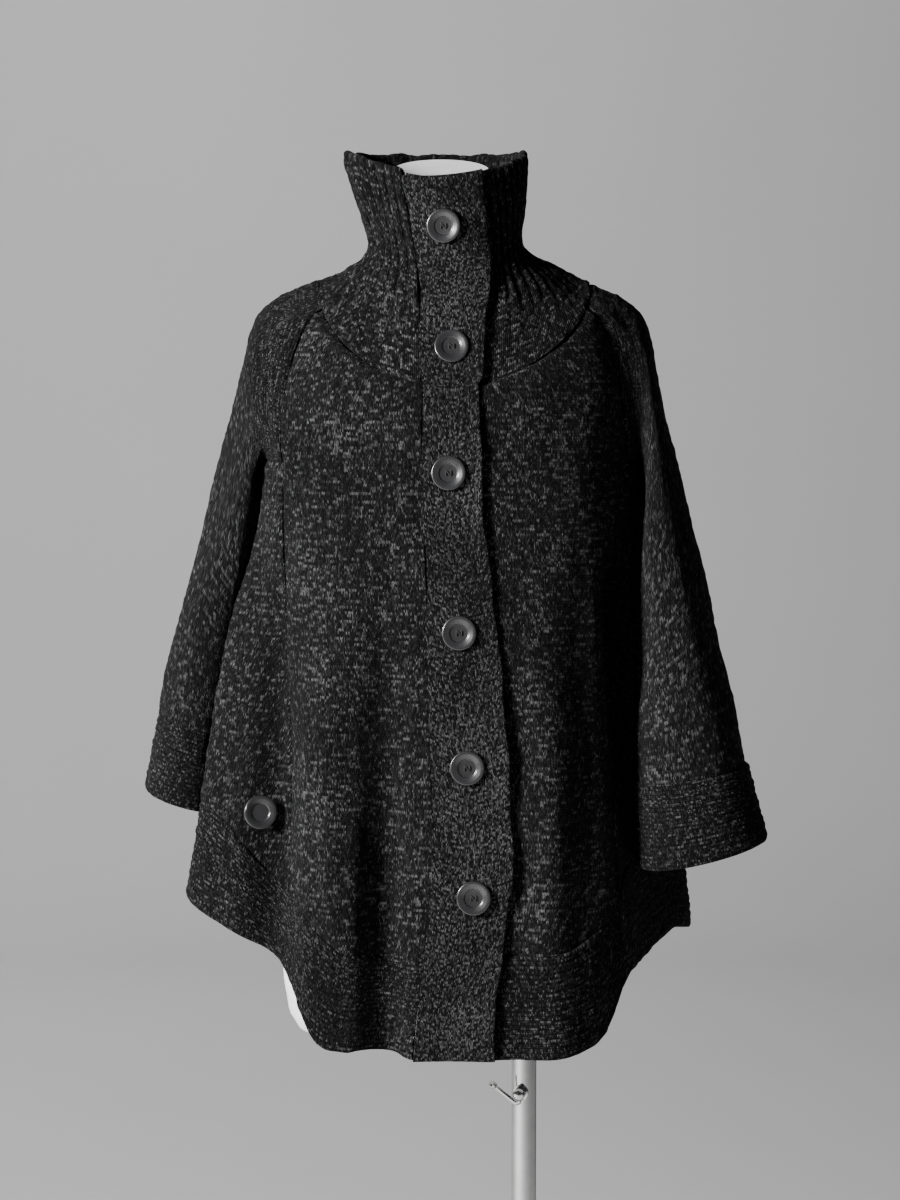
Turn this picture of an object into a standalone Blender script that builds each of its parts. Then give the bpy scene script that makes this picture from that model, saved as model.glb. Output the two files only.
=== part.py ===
"""Knitted button poncho on a dress form with a chrome stand.

Metres, +Z up. The garment's front faces -Y and +X is at the viewer's right, which is the wearer's left. The origin is
the centre of the round base's underside, on the axis of the mast. The garment and the form are drawn about their own
upright axis, which stands beside the mast.

Places round the garment are angles in degrees, seen from above: 0 is the front, 90 the wearer's right, 180 the back
and 270 the wearer's left.
"""

import math

import bmesh
import bpy
import numpy as np
from mathutils import Matrix, Vector
from mathutils.bvhtree import BVHTree

# The garment's axis lies this far from the mast
FORM_AXIS_X = -0.075

# Cloth
PANEL = 0.003
RIBBED = 0.004
PLACKET = 0.004
HALF_GAP = 0.0002
LAP_GAP = 0.0012
LAP = PLACKET + LAP_GAP
LAP_RUN = 26.0
UNDERARM_GAP = 0.0012
UNDER_BAND_INSET = 0.004

# Ribs of the collar, ridges of the bands
RIB_DEPTH = 0.0022
BORDER_PROUD = 0.0014
RIDGE_DEPTH = 0.0018
BAND_RIDGES = 11
BAND_INNER_ROWS = (0, 4, 8, 12, 16, 20, 22)
CUFF_RIDGES = 10

# Seams that run down the body: how far each lies from the axis
FRONT_SEAM_X = {"right": 0.163, "left": 0.172}
BACK_SEAM_X = 0.158
RAGLAN_TOP = 67.5

# Number of strips between the seams, a rib of the collar to each one at the top
FRONT_STRIPS = 8
SHOULDER_STRIPS = 6
BACK_STRIPS = 16
SIDE_STRIPS = 8
RAGLAN_ROWS = 5
LOWER_ROWS = 9

UNDERARM_Z = 1.255

# Plan of the body at each height: how far it reaches to each side, and how square its corners are
LEVELS = (
    # height, right, left, front, back, squareness
    (0.660, 0.262, 0.258, 0.168, 0.166, 2.4),
    (0.800, 0.250, 0.250, 0.166, 0.162, 2.4),
    (0.900, 0.231, 0.236, 0.163, 0.157, 2.4),
    (1.000, 0.212, 0.220, 0.159, 0.151, 2.4),
    (1.100, 0.198, 0.206, 0.154, 0.145, 2.4),
    (1.190, 0.189, 0.194, 0.148, 0.138, 2.5),
    (UNDERARM_Z, 0.185, 0.186, 0.143, 0.132, 2.6),
)

# Rings of the collar, from the yoke's lower edge to the rim. Their front, side and back lie at their own heights
COLLAR_RINGS = (
    # right, left, front, back, squareness, front height, side height, back height
    (0.130, 0.138, 0.128, 0.116, 2.6, 1.325, 1.432, 1.380),
    (0.103, 0.108, 0.107, 0.098, 2.2, 1.392, 1.443, 1.432),
    (0.0795, 0.0715, 0.084, 0.077, 2.0, 1.446, 1.463, 1.474),
    (0.091, 0.0735, 0.084, 0.082, 2.0, 1.490, 1.509, 1.521),
    (0.103, 0.0768, 0.086, 0.088, 2.0, 1.527, 1.553, 1.565),
)
COLLAR_ROWS = (0.0, 0.28, 0.34, 0.7, 1.15, 1.6, 2.0, 2.6, 3.3, 4.0)
BORDER_END = 0.31
COLLAR_FALL = 1.4

# Heights of the band's seam and of the hem, by the angle from the front or the back: 90 is the side
BAND_EDGE = (
    # angle, wearer's right seam and hem, wearer's left seam and hem
    (0.0, 0.788, 0.690, 0.788, 0.690),
    (24.0, 0.788, 0.690, 0.788, 0.690),
    (32.0, 0.792, 0.693, 0.789, 0.691),
    (40.0, 0.813, 0.704, 0.796, 0.694),
    (44.0, 0.822, 0.722, 0.804, 0.698),
    (48.0, 0.831, 0.747, 0.814, 0.708),
    (52.0, 0.842, 0.769, 0.827, 0.730),
    (56.0, 0.856, 0.785, 0.840, 0.751),
    (60.0, 0.873, 0.795, 0.850, 0.762),
    (66.0, 0.900, 0.810, 0.857, 0.767),
    (74.0, 0.917, 0.826, 0.864, 0.772),
    (82.0, 0.922, 0.836, 0.871, 0.779),
    (90.0, 0.924, 0.841, 0.876, 0.786),
)
HEM_FRONT_Z = 0.690

# Front edges of the placket, by height
PLACKET_EDGES = (
    # height, wearer's right edge, wearer's left edge
    (0.660, 0.036, 0.039),
    (0.720, 0.032, 0.0405),
    (0.790, 0.024, 0.0475),
    (0.850, 0.018, 0.056),
    (0.985, 0.019, 0.0525),
    (1.095, 0.0215, 0.043),
    (1.220, 0.026, 0.029),
    (1.315, 0.0285, 0.028),
    (1.378, 0.0287, 0.0325),
    (1.445, 0.030, 0.0355),
    (1.530, 0.045, 0.027),
)

# Folds of the hanging cloth: out of the plan where the depth is above 0, into it where it is below
FOLDS = (
    # angle at the underarm, angle at the hem, half-width, depth, way it faces, starts at, full at, share left at the hem
    (21.0, 20.5, 10.0, -0.020, 0.0, 1.18, 0.86, 1.0),
    (38.0, 33.0, 15.0, 0.010, 10.0, 1.22, 0.95, 1.0),
    (61.0, 51.5, 11.0, -0.034, 15.0, 1.23, 0.95, 0.8),
    (84.0, 73.0, 16.0, 0.024, 80.0, UNDERARM_Z, 1.02, 1.0),
    (108.0, 110.0, 20.0, -0.030, 90.0, UNDERARM_Z, 1.05, 0.5),
    (140.0, 141.0, 14.0, 0.010, 150.0, 1.20, 0.90, 1.0),
    (161.0, 161.0, 14.0, -0.011, 180.0, 1.22, 0.90, 1.0),
    (182.0, 182.0, 14.0, 0.010, 180.0, 1.23, 0.90, 1.0),
    (203.0, 203.0, 14.0, -0.011, 180.0, 1.22, 0.90, 1.0),
    (224.0, 224.0, 14.0, 0.010, 210.0, 1.20, 0.90, 1.0),
    (250.0, 250.0, 15.0, 0.010, 250.0, 1.23, 0.97, 1.0),
    (282.0, 286.0, 32.0, -0.062, 270.0, UNDERARM_Z, 1.10, 0.7),
    (311.0, 309.0, 10.0, -0.012, 0.0, 1.22, 0.95, 1.0),
    (329.0, 328.0, 12.0, 0.011, 345.0, 1.23, 0.95, 1.0),
)

# Sections down each sleeve: its outer and inner line seen from the front, and where it lies from front to back
SLEEVES = {
    "right": (
        # outer x, outer z, inner x, inner z, middle y, half-depth
        (0.196, 1.4075, 0.188, 1.251, 0.000, 0.058),
        (0.2015, 1.390, 0.1895, 1.238, 0.002, 0.062),
        (0.204, 1.352, 0.191, 1.215, 0.008, 0.066),
        (0.222, 1.280, 0.195, 1.168, 0.020, 0.070),
        (0.244, 1.200, 0.202, 1.112, 0.036, 0.073),
        (0.266, 1.130, 0.210, 1.062, 0.048, 0.075),
        (0.283, 1.060, 0.217, 1.015, 0.057, 0.075),
        (0.296, 1.001, 0.222, 0.974, 0.062, 0.075),
    ),
    "left": (
        (0.195, 1.407, 0.188, 1.251, 0.000, 0.058),
        (0.2005, 1.389, 0.1895, 1.238, -0.004, 0.062),
        (0.2025, 1.346, 0.1900, 1.214, -0.015, 0.066),
        (0.2165, 1.275, 0.1850, 1.165, -0.034, 0.069),
        (0.236, 1.195, 0.181, 1.105, -0.047, 0.070),
        (0.253, 1.118, 0.182, 1.050, -0.056, 0.070),
        (0.2705, 1.038, 0.181, 0.998, -0.066, 0.069),
        (0.289, 0.962, 0.181, 0.945, -0.074, 0.068),
    ),
}
CUFF_EDGES = {
    "right": (0.313, 0.922, 0.229, 0.897, 0.066, 0.079),
    "left": (0.308, 0.893, 0.184, 0.862, -0.084, 0.070),
}
# How far the first sections have turned from the armhole's own line to the sleeve's, over the arm and under it
TURNED_OVER = (0.5, 0.85, 1.0, 1.0)
TURNED_UNDER = (0.35, 0.6, 0.8, 0.95)
SLEEVE_SQUARE = 2.1

# Dress form, from its underside to the neck
FORM_RINGS = (
    # height, half-width, front, back, forward tilt
    (0.672, 0.110, 0.060, 0.068, 0.0),
    (0.679, 0.142, 0.084, 0.093, 0.0),
    (0.692, 0.157, 0.099, 0.110, 0.0),
    (0.718, 0.165, 0.109, 0.121, 0.0),
    (0.760, 0.169, 0.113, 0.126, 0.0),
    (0.810, 0.168, 0.114, 0.127, 0.0),
    (0.880, 0.158, 0.109, 0.118, 0.0),
    (0.960, 0.137, 0.100, 0.103, 0.0),
    (1.040, 0.122, 0.094, 0.093, 0.0),
    (1.110, 0.127, 0.101, 0.097, 0.0),
    (1.180, 0.140, 0.117, 0.105, 0.0),
    (1.240, 0.150, 0.128, 0.111, 0.0),
    (1.300, 0.157, 0.117, 0.112, 0.0),
    (1.345, 0.166, 0.096, 0.102, 0.0),
    (1.380, 0.170, 0.078, 0.088, 0.0),
    (1.4055, 0.158, 0.067, 0.074, 0.0),
    (1.4230, 0.115, 0.057, 0.062, 0.0),
    (1.4390, 0.075, 0.052, 0.055, 0.0),
    (1.462, 0.058, 0.051, 0.051, 0.05),
    (1.500, 0.051, 0.050, 0.050, 0.15),
    (1.536, 0.050, 0.050, 0.050, 0.32),
    (1.540, 0.048, 0.048, 0.048, 0.32),
)
FORM_SQUARE = 2.1
FORM_SIDES = 24
NECK_SHIFT = -0.009
BORE_DEPTH = 0.16

# Buttons
BUTTON_RADIUS = 0.0167
BUTTON_THICK = 0.0048
BUTTON_SIDES = 14
BUTTON_HEIGHTS = (1.481, 1.363, 1.245, 1.095, 0.968, 0.845)
BUTTON_SHIFT = (-0.005, 0.0, -0.002, -0.002, -0.001, 0.004)
SIDE_BUTTON_ANGLE = {"right": 61.0, "left": 293.0}
SIDE_BUTTON_Z = 0.915
BUTTON_STEP = 0.0002
BUTTON_GAP = 0.0002

# Stand
BASE_RADIUS = 0.175
BASE_THICK = 0.012
SLEEVE_TUBE_RADIUS = 0.0127
TUBE_WALL = 0.0012
SLEEVE_TUBE_TOP = 0.668
MAST_RADIUS = 0.0111
MAST_FOOT = 0.240
CLAMP_Z = 0.618
CLAMP_TURN = math.radians(-14.0)
CLAMP_HEAD_RADIUS = 0.0062
HANDLE_RADIUS = 0.0025
HANDLE_BALL = 0.0042
HANDLE_SIDES = 10
# Handle from under the screw's head to the ball, across and up from the screw's axis
HANDLE_ROUTE = ((0.0, -0.0068), (-0.0004, -0.0083), (-0.0026, -0.0094), (-0.0058, -0.0082), (-0.0240, 0.0052))
ROUND_SIDES = 24
BASE_SIDES = 44


def smooth_step(share):
    share = min(max(share, 0.0), 1.0)
    return share * share * (3 - 2 * share)


def table_row(table, value):
    """Row of a table at a value of its first column, on a smooth curve through the rows."""
    rows = np.array(table)
    knots = rows[:, 0]
    slopes = np.gradient(rows, knots, axis=0)
    at = int(np.clip(np.searchsorted(knots, value) - 1, 0, len(knots) - 2))
    span = knots[at + 1] - knots[at]
    t = min(max((value - knots[at]) / span, 0.0), 1.0)
    start = rows[at] * (1 + 2 * t) * (1 - t) ** 2 + slopes[at] * span * t * (1 - t) ** 2
    end = rows[at + 1] * t * t * (3 - 2 * t) + slopes[at + 1] * span * t * t * (t - 1)
    return (start + end)[1:]


def ring_reach(angle, right, left, front, back, square):
    """Distance from the axis to a rounded ring along the ray at this angle."""
    across = math.sin(math.radians(angle))
    along = math.cos(math.radians(angle))
    side = right if across > 0 else left
    depth = front if along > 0 else back
    return ((abs(across) / side) ** square + (abs(along) / depth) ** square) ** (-1 / square)


def ray(angle):
    return np.array((-math.sin(math.radians(angle)), -math.cos(math.radians(angle)), 0.0))


def ring_angle(x, side, depth, square):
    """Angle from the ring's middle at which it lies x from the axis."""
    y = depth * (1 - (x / side) ** square) ** (1 / square)
    return math.degrees(math.atan2(x, y))


def body_reach(angle, z):
    return ring_reach(angle, *table_row(LEVELS, z))


def fold_shift(angle, z):
    """How far the folds move the cloth at this place."""
    shift = np.zeros(3)
    for top, hem, half_width, full, facing, start, end, share in FOLDS:
        down = smooth_step((UNDERARM_Z - z) / (UNDERARM_Z - HEM_FRONT_Z))
        apart = abs((angle - top - (hem - top) * down + 180) % 360 - 180)
        if apart < half_width:
            grown = smooth_step((start - z) / (start - end))
            kept = 1 - (1 - share) * smooth_step((end - z) / (end - HEM_FRONT_Z))
            depth = full * grown * kept * (0.5 + 0.5 * math.cos(math.pi * apart / half_width))
            shift += ray(facing) * depth
    return shift


def body_point(angle, z):
    """Point of the hanging cloth's outer face, below the underarm."""
    point = ray(angle) * body_reach(angle, z) + fold_shift(angle, z)
    point[2] = z
    return point


def collar_height(angle, front_z, side_z, back_z):
    along = math.cos(math.radians(angle))
    far = front_z if along > 0 else back_z
    return side_z + (far - side_z) * abs(along) ** COLLAR_FALL


def collar_ring(angle, ring):
    right, left, front, back, square, front_z, side_z, back_z = ring
    point = ray(angle) * ring_reach(angle, right, left, front, back, square)
    point[2] = collar_height(angle, front_z, side_z, back_z)
    return point


def collar_table_row(place):
    """Ring of the collar at a place between two rings, counted from the yoke's lower edge."""
    rows = [(n,) + ring for n, ring in enumerate(COLLAR_RINGS)]
    return table_row(rows, place)


def placket_angles(z):
    """Angles of the placket's edges at this height: the wearer's right one, and the left one as an angle below 0."""
    right_x, left_x = table_row(PLACKET_EDGES, z)
    if z > COLLAR_RINGS[0][5]:
        places = np.linspace(0, len(COLLAR_RINGS) - 1, 60)
        heights = [collar_table_row(place)[5] for place in places]
        ring = collar_table_row(float(np.interp(z, heights, places)))
        right, left, front, square = ring[0], ring[1], ring[2], ring[4]
    else:
        right, left, front, _, square = table_row(LEVELS, min(z, UNDERARM_Z))
    return ring_angle(right_x, right, front, square), -ring_angle(left_x, left, front, square)


def under_edge_angle(z):
    """Angle, below 0, at which the wearer's left front is sewn to the lower band, just under the placket's edge."""
    left_edge = placket_angles(z)[1]
    return left_edge + math.degrees(UNDER_BAND_INSET / 0.15)


def seam_angles(z):
    """Angles of the four seams that run down the body, at this height."""
    right, left, front, back, square = table_row(LEVELS, min(z, UNDERARM_Z))
    return (
        ring_angle(FRONT_SEAM_X["right"], right, front, square),
        180 - ring_angle(BACK_SEAM_X, right, back, square),
        180 + ring_angle(BACK_SEAM_X, left, back, square),
        360 - ring_angle(FRONT_SEAM_X["left"], left, front, square),
    )


def band_heights(angle):
    """Heights of the band's seam and of the hem at this angle: level at the front and back, and rising to the sides."""
    from_side = abs(angle % 180 - 90)
    heights = table_row(BAND_EDGE, 90 - from_side)
    return heights[:2] if angle % 360 < 180 else heights[2:]


def shoulder_point(share, yoke_angle, underarm_angle):
    """Point between the yoke's edge and the level of the underarm, on the round of the chest or back."""
    turned = yoke_angle + (underarm_angle - yoke_angle) * share
    top = collar_ring(turned, COLLAR_RINGS[0])
    low = ray(turned) * body_reach(turned, UNDERARM_Z)
    out = math.sin(math.pi / 2 * share) ** 0.62
    point = top + (low - top) * out
    point[2] = top[2] + (UNDERARM_Z - top[2]) * share
    return point


def torso_grid(strips, yoke_span, low_span):
    """Grid of a panel that runs from the yoke to the band: strips across, the span of angles given at each height."""
    rows = []
    for n in range(RAGLAN_ROWS):
        share = n / RAGLAN_ROWS
        at_yoke = np.linspace(*yoke_span, strips + 1)
        at_arm = np.linspace(*low_span(UNDERARM_Z), strips + 1)
        rows.append([shoulder_point(share, a, b) for a, b in zip(at_yoke, at_arm)])
    return np.array(rows + list(lower_grid(strips, low_span)))


def lower_grid(strips, low_span):
    """Grid from the underarm's level down to the band's seam."""
    ends = np.linspace(*low_span(0.85), strips + 1)
    rows = []
    for n in range(LOWER_ROWS + 1):
        share = n / LOWER_ROWS
        row = []
        for strip, end in enumerate(ends):
            z = UNDERARM_Z + (band_heights(end)[0] - UNDERARM_Z) * share
            first, last = low_span(z)
            row.append(body_point(first + (last - first) * strip / strips, z))
        rows.append(row)
    return np.array(rows)


def band_grid(strips, low_span):
    """Grid of the hem band, with two rows to each ridge."""
    ends = np.linspace(*low_span(0.85), strips + 1)
    rows = []
    for n in range(2 * BAND_RIDGES + 1):
        share = n / (2 * BAND_RIDGES)
        row = []
        for strip, end in enumerate(ends):
            top, hem = band_heights(end)
            z = top + (hem - top) * share
            first, last = low_span(z)
            row.append(body_point(first + (last - first) * strip / strips, z))
        rows.append(row)
    return np.array(rows)


def span_front_right(z):
    return placket_angles(z)[0], seam_angles(z)[0]


def span_side_right(z):
    return seam_angles(z)[0:2]


def span_back(z):
    return seam_angles(z)[1:3]


def span_side_left(z):
    return seam_angles(z)[2:4]


def span_front_left(z):
    return seam_angles(z)[3], 360 + under_edge_angle(z)


def span_placket(z):
    right, left = placket_angles(z)
    return left, right


def span_button_band(z):
    return under_edge_angle(z), placket_angles(z)[0] - 1.5


def collar_columns():
    """Angles of the collar's ribs at the yoke's edge: two columns to each rib, seams of the panels at even ones."""
    yoke_z = COLLAR_RINGS[0][5]
    stations = (
        (placket_angles(yoke_z)[0], RAGLAN_TOP, FRONT_STRIPS),
        (RAGLAN_TOP, 180 - RAGLAN_TOP, SHOULDER_STRIPS),
        (180 - RAGLAN_TOP, 180 + RAGLAN_TOP, BACK_STRIPS),
        (180 + RAGLAN_TOP, 360 - RAGLAN_TOP, SHOULDER_STRIPS),
        (360 - RAGLAN_TOP, 360 + under_edge_angle(yoke_z), FRONT_STRIPS),
    )
    columns = [stations[0][0]]
    for first, last, ribs in stations:
        columns += list(np.linspace(first, last, 2 * ribs + 1)[1:])
    return np.array(columns)


def collar_grid():
    columns = collar_columns()
    seam_shares = (columns - columns[0]) / (columns[-1] - columns[0])
    rows = []
    for place in COLLAR_ROWS:
        ring = collar_table_row(place)
        first, last = placket_angles(ring[5])[0], 360 + under_edge_angle(ring[5])
        share = smooth_step(place / 1.5)
        spread = seam_shares * (1 - share) + np.linspace(0, 1, len(columns)) * share
        angles = first + (last - first) * spread
        rows.append([collar_ring(angle, ring) for angle in angles])
    rows = np.array(rows)
    rows[0, 1::2] = (rows[0, 0:-1:2] + rows[0, 2::2]) / 2
    return rows[::-1]


def collar_strip(strips, span):
    """Rows of the placket or of the band under it, alongside the collar."""
    rows = []
    for place in COLLAR_ROWS[:0:-1]:
        ring = collar_table_row(place)
        rows.append([collar_ring(angle, ring) for angle in np.linspace(*span(ring[5]), strips + 1)])
    return rows


def front_band_grid(strips, span):
    """Grid of the placket or of the band under it: beside the collar, the front and the hem band."""
    yoke_z = COLLAR_RINGS[0][5]
    body = torso_grid(strips, span(yoke_z), span)
    hem = band_grid(strips, span)[list(BAND_INNER_ROWS[1:])]
    return np.array(collar_strip(strips, span) + list(body) + list(hem))


def sleeve_loop(side, front, back, shoulder):
    """Closed armhole line of a sleeve, from the top of the shoulder forward, round the underarm and up the back."""
    top = shoulder[SHOULDER_STRIPS // 2]
    forward = shoulder[: SHOULDER_STRIPS // 2][::-1]
    backward = shoulder[SHOULDER_STRIPS // 2 + 1:]
    under = []
    first, last = seam_angles(UNDERARM_Z)[0:2] if side == "right" else seam_angles(UNDERARM_Z)[3:1:-1]
    for angle in np.linspace(first, last, SIDE_STRIPS + 1)[1:-1]:
        point = ray(angle) * (body_reach(angle, UNDERARM_Z) + UNDERARM_GAP)
        point[2] = UNDERARM_Z
        under.append(point)
    front_seam = front[1: RAGLAN_ROWS + 1]
    back_seam = back[1: RAGLAN_ROWS + 1][::-1]
    return np.array([top, *forward, *front_seam, *under, *back_seam, *backward[::-1]])


def sleeve_ring(side, section, count):
    """Ring of a sleeve through its outer and inner line, in the same order as the armhole."""
    outer_x, outer_z, inner_x, inner_z, middle_y, half_depth = section
    sign = -1 if side == "right" else 1
    outer = np.array((sign * outer_x, 0.0, outer_z))
    inner = np.array((sign * inner_x, 0.0, inner_z))
    points = []
    for n in range(count):
        turn = 2 * math.pi * n / count
        across = math.copysign(abs(math.cos(turn)) ** (2 / SLEEVE_SQUARE), math.cos(turn))
        along = math.copysign(abs(math.sin(turn)) ** (2 / SLEEVE_SQUARE), math.sin(turn))
        point = (outer + inner) / 2 + (outer - inner) / 2 * across
        point[1] = middle_y - half_depth * along
        points.append(point)
    return np.array(points)


def sleeve_grid(side, loop):
    sections = SLEEVES[side]
    under = 0.5 - 0.5 * np.cos(2 * math.pi * np.arange(len(loop)) / len(loop))
    rows = [loop]
    for n, section in enumerate(sections):
        ring = sleeve_ring(side, section, len(loop))
        if n < len(TURNED_OVER):
            turned_share = (TURNED_OVER[n] + (TURNED_UNDER[n] - TURNED_OVER[n]) * under)[:, None]
            ring = loop * (1 - turned_share) + ring * turned_share
        rows.append(ring)
    return np.array(rows)


def cuff_grid(side, count):
    start = np.array(SLEEVES[side][-1])
    end = np.array(CUFF_EDGES[side])
    steps = 2 * CUFF_RIDGES
    return np.array([sleeve_ring(side, start + (end - start) * n / steps, count) for n in range(steps + 1)])


class Piece:
    """A piece of cloth: its outer face as a grid of points, how far each point is lifted, and its thickness."""

    def __init__(self, name, grid, thickness, closed=False, outward=1):
        self.name = name
        self.grid = grid
        self.thickness = thickness
        self.closed = closed
        self.outward = outward
        self.lift = np.zeros(grid.shape[:2])
        self.relief = np.zeros(grid.shape[:2])
        self.inner_rows = list(range(grid.shape[0]))
        self.inner_columns = list(range(grid.shape[1]))

    def face_normals(self):
        """Corner points of each cell and the cell's normal."""
        after = np.roll(self.grid, -1, axis=1) if self.closed else self.grid[:, 1:]
        before = self.grid if self.closed else self.grid[:, :-1]
        corners = (before[:-1], after[:-1], after[1:], before[1:])
        normals = np.cross(corners[2] - corners[0], corners[1] - corners[3]) * -self.outward
        return corners, normals


def point_key(point):
    return tuple(np.round(point * 2e4).astype(int))


def shared_normals(pieces):
    """Normal at each point, the mean of all cells that meet there, also across the seams."""
    total = {}
    for piece in pieces:
        corners, normals = piece.face_normals()
        for corner in corners:
            for point, normal in zip(corner.reshape(-1, 3), normals.reshape(-1, 3)):
                key = point_key(point)
                total[key] = total.get(key, np.zeros(3)) + normal
    return {key: value / max(np.linalg.norm(value), 1e-12) for key, value in total.items()}


def tie_border(collar, normals):
    """Give the points between two ribs on the yoke's edge the direction of the straight seam that they lie on."""
    edge = collar.grid[-1]
    for before, middle, after in zip(edge[0:-2:2], edge[1:-1:2], edge[2::2]):
        mean = normals[point_key(before)] + normals[point_key(after)]
        normals[point_key(middle)] = mean / np.linalg.norm(mean)


def along_edge(edge, closed):
    if closed:
        return np.roll(edge, -1, axis=0) - np.roll(edge, 1, axis=0)
    return np.gradient(edge, axis=0)


def inward_steps(edge, beside, directions, closed):
    """Half a seam's gap from each edge point, square to the seam and to the cloth's direction there."""
    inward = beside - edge
    for axis in (directions, along_edge(edge, closed)):
        axis = axis / np.linalg.norm(axis, axis=-1, keepdims=True)
        inward = inward - (inward * axis).sum(axis=-1, keepdims=True) * axis
    return inward / np.linalg.norm(inward, axis=-1, keepdims=True) * HALF_GAP


def drawn_in(points, directions, closed):
    """The points with those at the edges moved inward, so that neighbours stay apart."""
    moved = points.copy()
    for edge, beside in ((0, 1), (-1, -2)):
        moved[edge] += inward_steps(points[edge], points[beside], directions[edge], closed)
        if not closed:
            moved[:, edge] += inward_steps(points[:, edge], points[:, beside], directions[:, edge], False)
    return moved


def comes_first(one, other):
    """Whether a point lies above another, or behind it, or to its right: the same rule on both sides of a seam."""
    for axis in (2, 1, 0):
        apart = one.co[axis] - other.co[axis]
        if abs(apart) > 0.001:
            return apart > 0
    return True


def edge_faces(run, inner_end, inner_start):
    """Triangles between a run of outer points and the two inner points at its ends."""
    if comes_first(run[0], run[-1]):
        return [(run[0], inner_end, inner_start)] + [(a, b, inner_end) for a, b in zip(run, run[1:])]
    return [(run[-1], inner_end, inner_start)] + [(a, b, inner_start) for a, b in zip(run, run[1:])]


def cloth_faces(piece, outer, inner):
    """Faces of the wall: both sides, and the edges between them."""
    rows, columns = piece.grid.shape[:2]
    faces = []
    around = columns if piece.closed else columns - 1
    for row in range(rows - 1):
        for column in range(around):
            beside = (column + 1) % columns
            faces.append((outer[row][column], outer[row][beside], outer[row + 1][beside], outer[row + 1][column]))
    kept = piece.inner_columns + ([columns] if piece.closed else [])
    column_pairs = list(zip(kept, kept[1:]))
    row_pairs = list(zip(piece.inner_rows, piece.inner_rows[1:]))
    for low, high in row_pairs:
        for left, right in column_pairs:
            right %= columns
            faces.append((inner[low][left], inner[high][left], inner[high][right], inner[low][right]))
    for row in (0, rows - 1):
        for left, right in column_pairs:
            run = [outer[row][n % columns] for n in range(left, right + 1)]
            faces += edge_faces(run, inner[row][right % columns], inner[row][left])
    if not piece.closed:
        for column in (0, columns - 1):
            for low, high in row_pairs:
                run = [outer[n][column] for n in range(low, high + 1)]
                faces += edge_faces(run, inner[high][column], inner[low][column])
    return faces


def build_cloth(piece, normals, material):
    rows, columns = piece.grid.shape[:2]
    directions = np.array([[normals[point_key(point)] for point in row] for row in piece.grid])
    base = drawn_in(piece.grid, directions, piece.closed)
    outer_points = base + directions * (piece.lift + piece.relief)[..., None]
    inner_points = base + directions * (piece.lift - piece.thickness)[..., None]
    mesh = bmesh.new()
    outer = [[mesh.verts.new(point) for point in row] for row in outer_points]
    inner = [[None] * columns for _ in range(rows)]
    for row in piece.inner_rows:
        for column in piece.inner_columns:
            inner[row][column] = mesh.verts.new(inner_points[row][column])
    for face in cloth_faces(piece, outer, inner):
        mesh.faces.new(face)
    bmesh.ops.recalc_face_normals(mesh, faces=mesh.faces)
    if mesh.calc_volume(signed=True) < 0:
        bmesh.ops.reverse_faces(mesh, faces=mesh.faces)
    bmesh.ops.triangulate(mesh, faces=mesh.faces)
    return add_object(piece.name, mesh, material, (FORM_AXIS_X, 0.0, 0.0))


def add_object(name, mesh, material, location=(0.0, 0.0, 0.0)):
    data = bpy.data.meshes.new(name)
    mesh.to_mesh(data)
    mesh.free()
    data.shade_smooth()
    data.set_sharp_from_angle(angle=math.radians(50))
    data.materials.append(material)
    thing = bpy.data.objects.new(name, data)
    thing.location = location
    bpy.context.scene.collection.objects.link(thing)
    return thing


def make_material(name, color, roughness, metallic=0.0):
    material = bpy.data.materials.new(name)
    material.use_nodes = True
    shader = material.node_tree.nodes["Principled BSDF"]
    shader.inputs["Base Color"].default_value = (*color, 1.0)
    shader.inputs["Roughness"].default_value = roughness
    shader.inputs["Metallic"].default_value = metallic
    return material


def turned(profile, sides):
    """Closed body turned about Z from a profile of (radius, height) points, listed from one end to the other."""
    mesh = bmesh.new()
    rings = []
    for radius, z in profile:
        if radius == 0:
            rings.append([mesh.verts.new((0.0, 0.0, z))])
            continue
        angles = [2 * math.pi * n / sides for n in range(sides)]
        rings.append([mesh.verts.new((radius * math.cos(a), radius * math.sin(a), z)) for a in angles])
    for low, high in zip(rings, rings[1:]):
        for n in range(sides):
            after = (n + 1) % sides
            corners = [low[n % len(low)], low[after % len(low)], high[after % len(high)], high[n % len(high)]]
            mesh.faces.new(list(dict.fromkeys(corners)))
    for ring, turned_over in ((rings[0], True), (rings[-1], False)):
        if len(ring) > 1:
            mesh.faces.new(ring[::-1] if turned_over else ring)
    bmesh.ops.recalc_face_normals(mesh, faces=mesh.faces)
    return mesh


def cut_bore(thing, radius, foot, top, x, y):
    """Cut an upright round hole into an object."""
    cutter_mesh = turned(((radius, foot), (radius, top)), ROUND_SIDES)
    cutter = add_object(thing.name + "_bore_cutter", cutter_mesh, thing.data.materials[0], (x, y, 0.0))
    cutter.hide_render = True
    cutter.display_type = "WIRE"
    cut = thing.modifiers.new("bore", "BOOLEAN")
    cut.object = cutter
    cut.operation = "DIFFERENCE"


def lap_share(columns, from_edge):
    """How much of the lap's height each column keeps, from 1 at the placket's edge to 0 further round."""
    apart = np.abs(columns - columns[from_edge])
    return np.array([1 - smooth_step(value / LAP_RUN) for value in apart])


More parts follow.
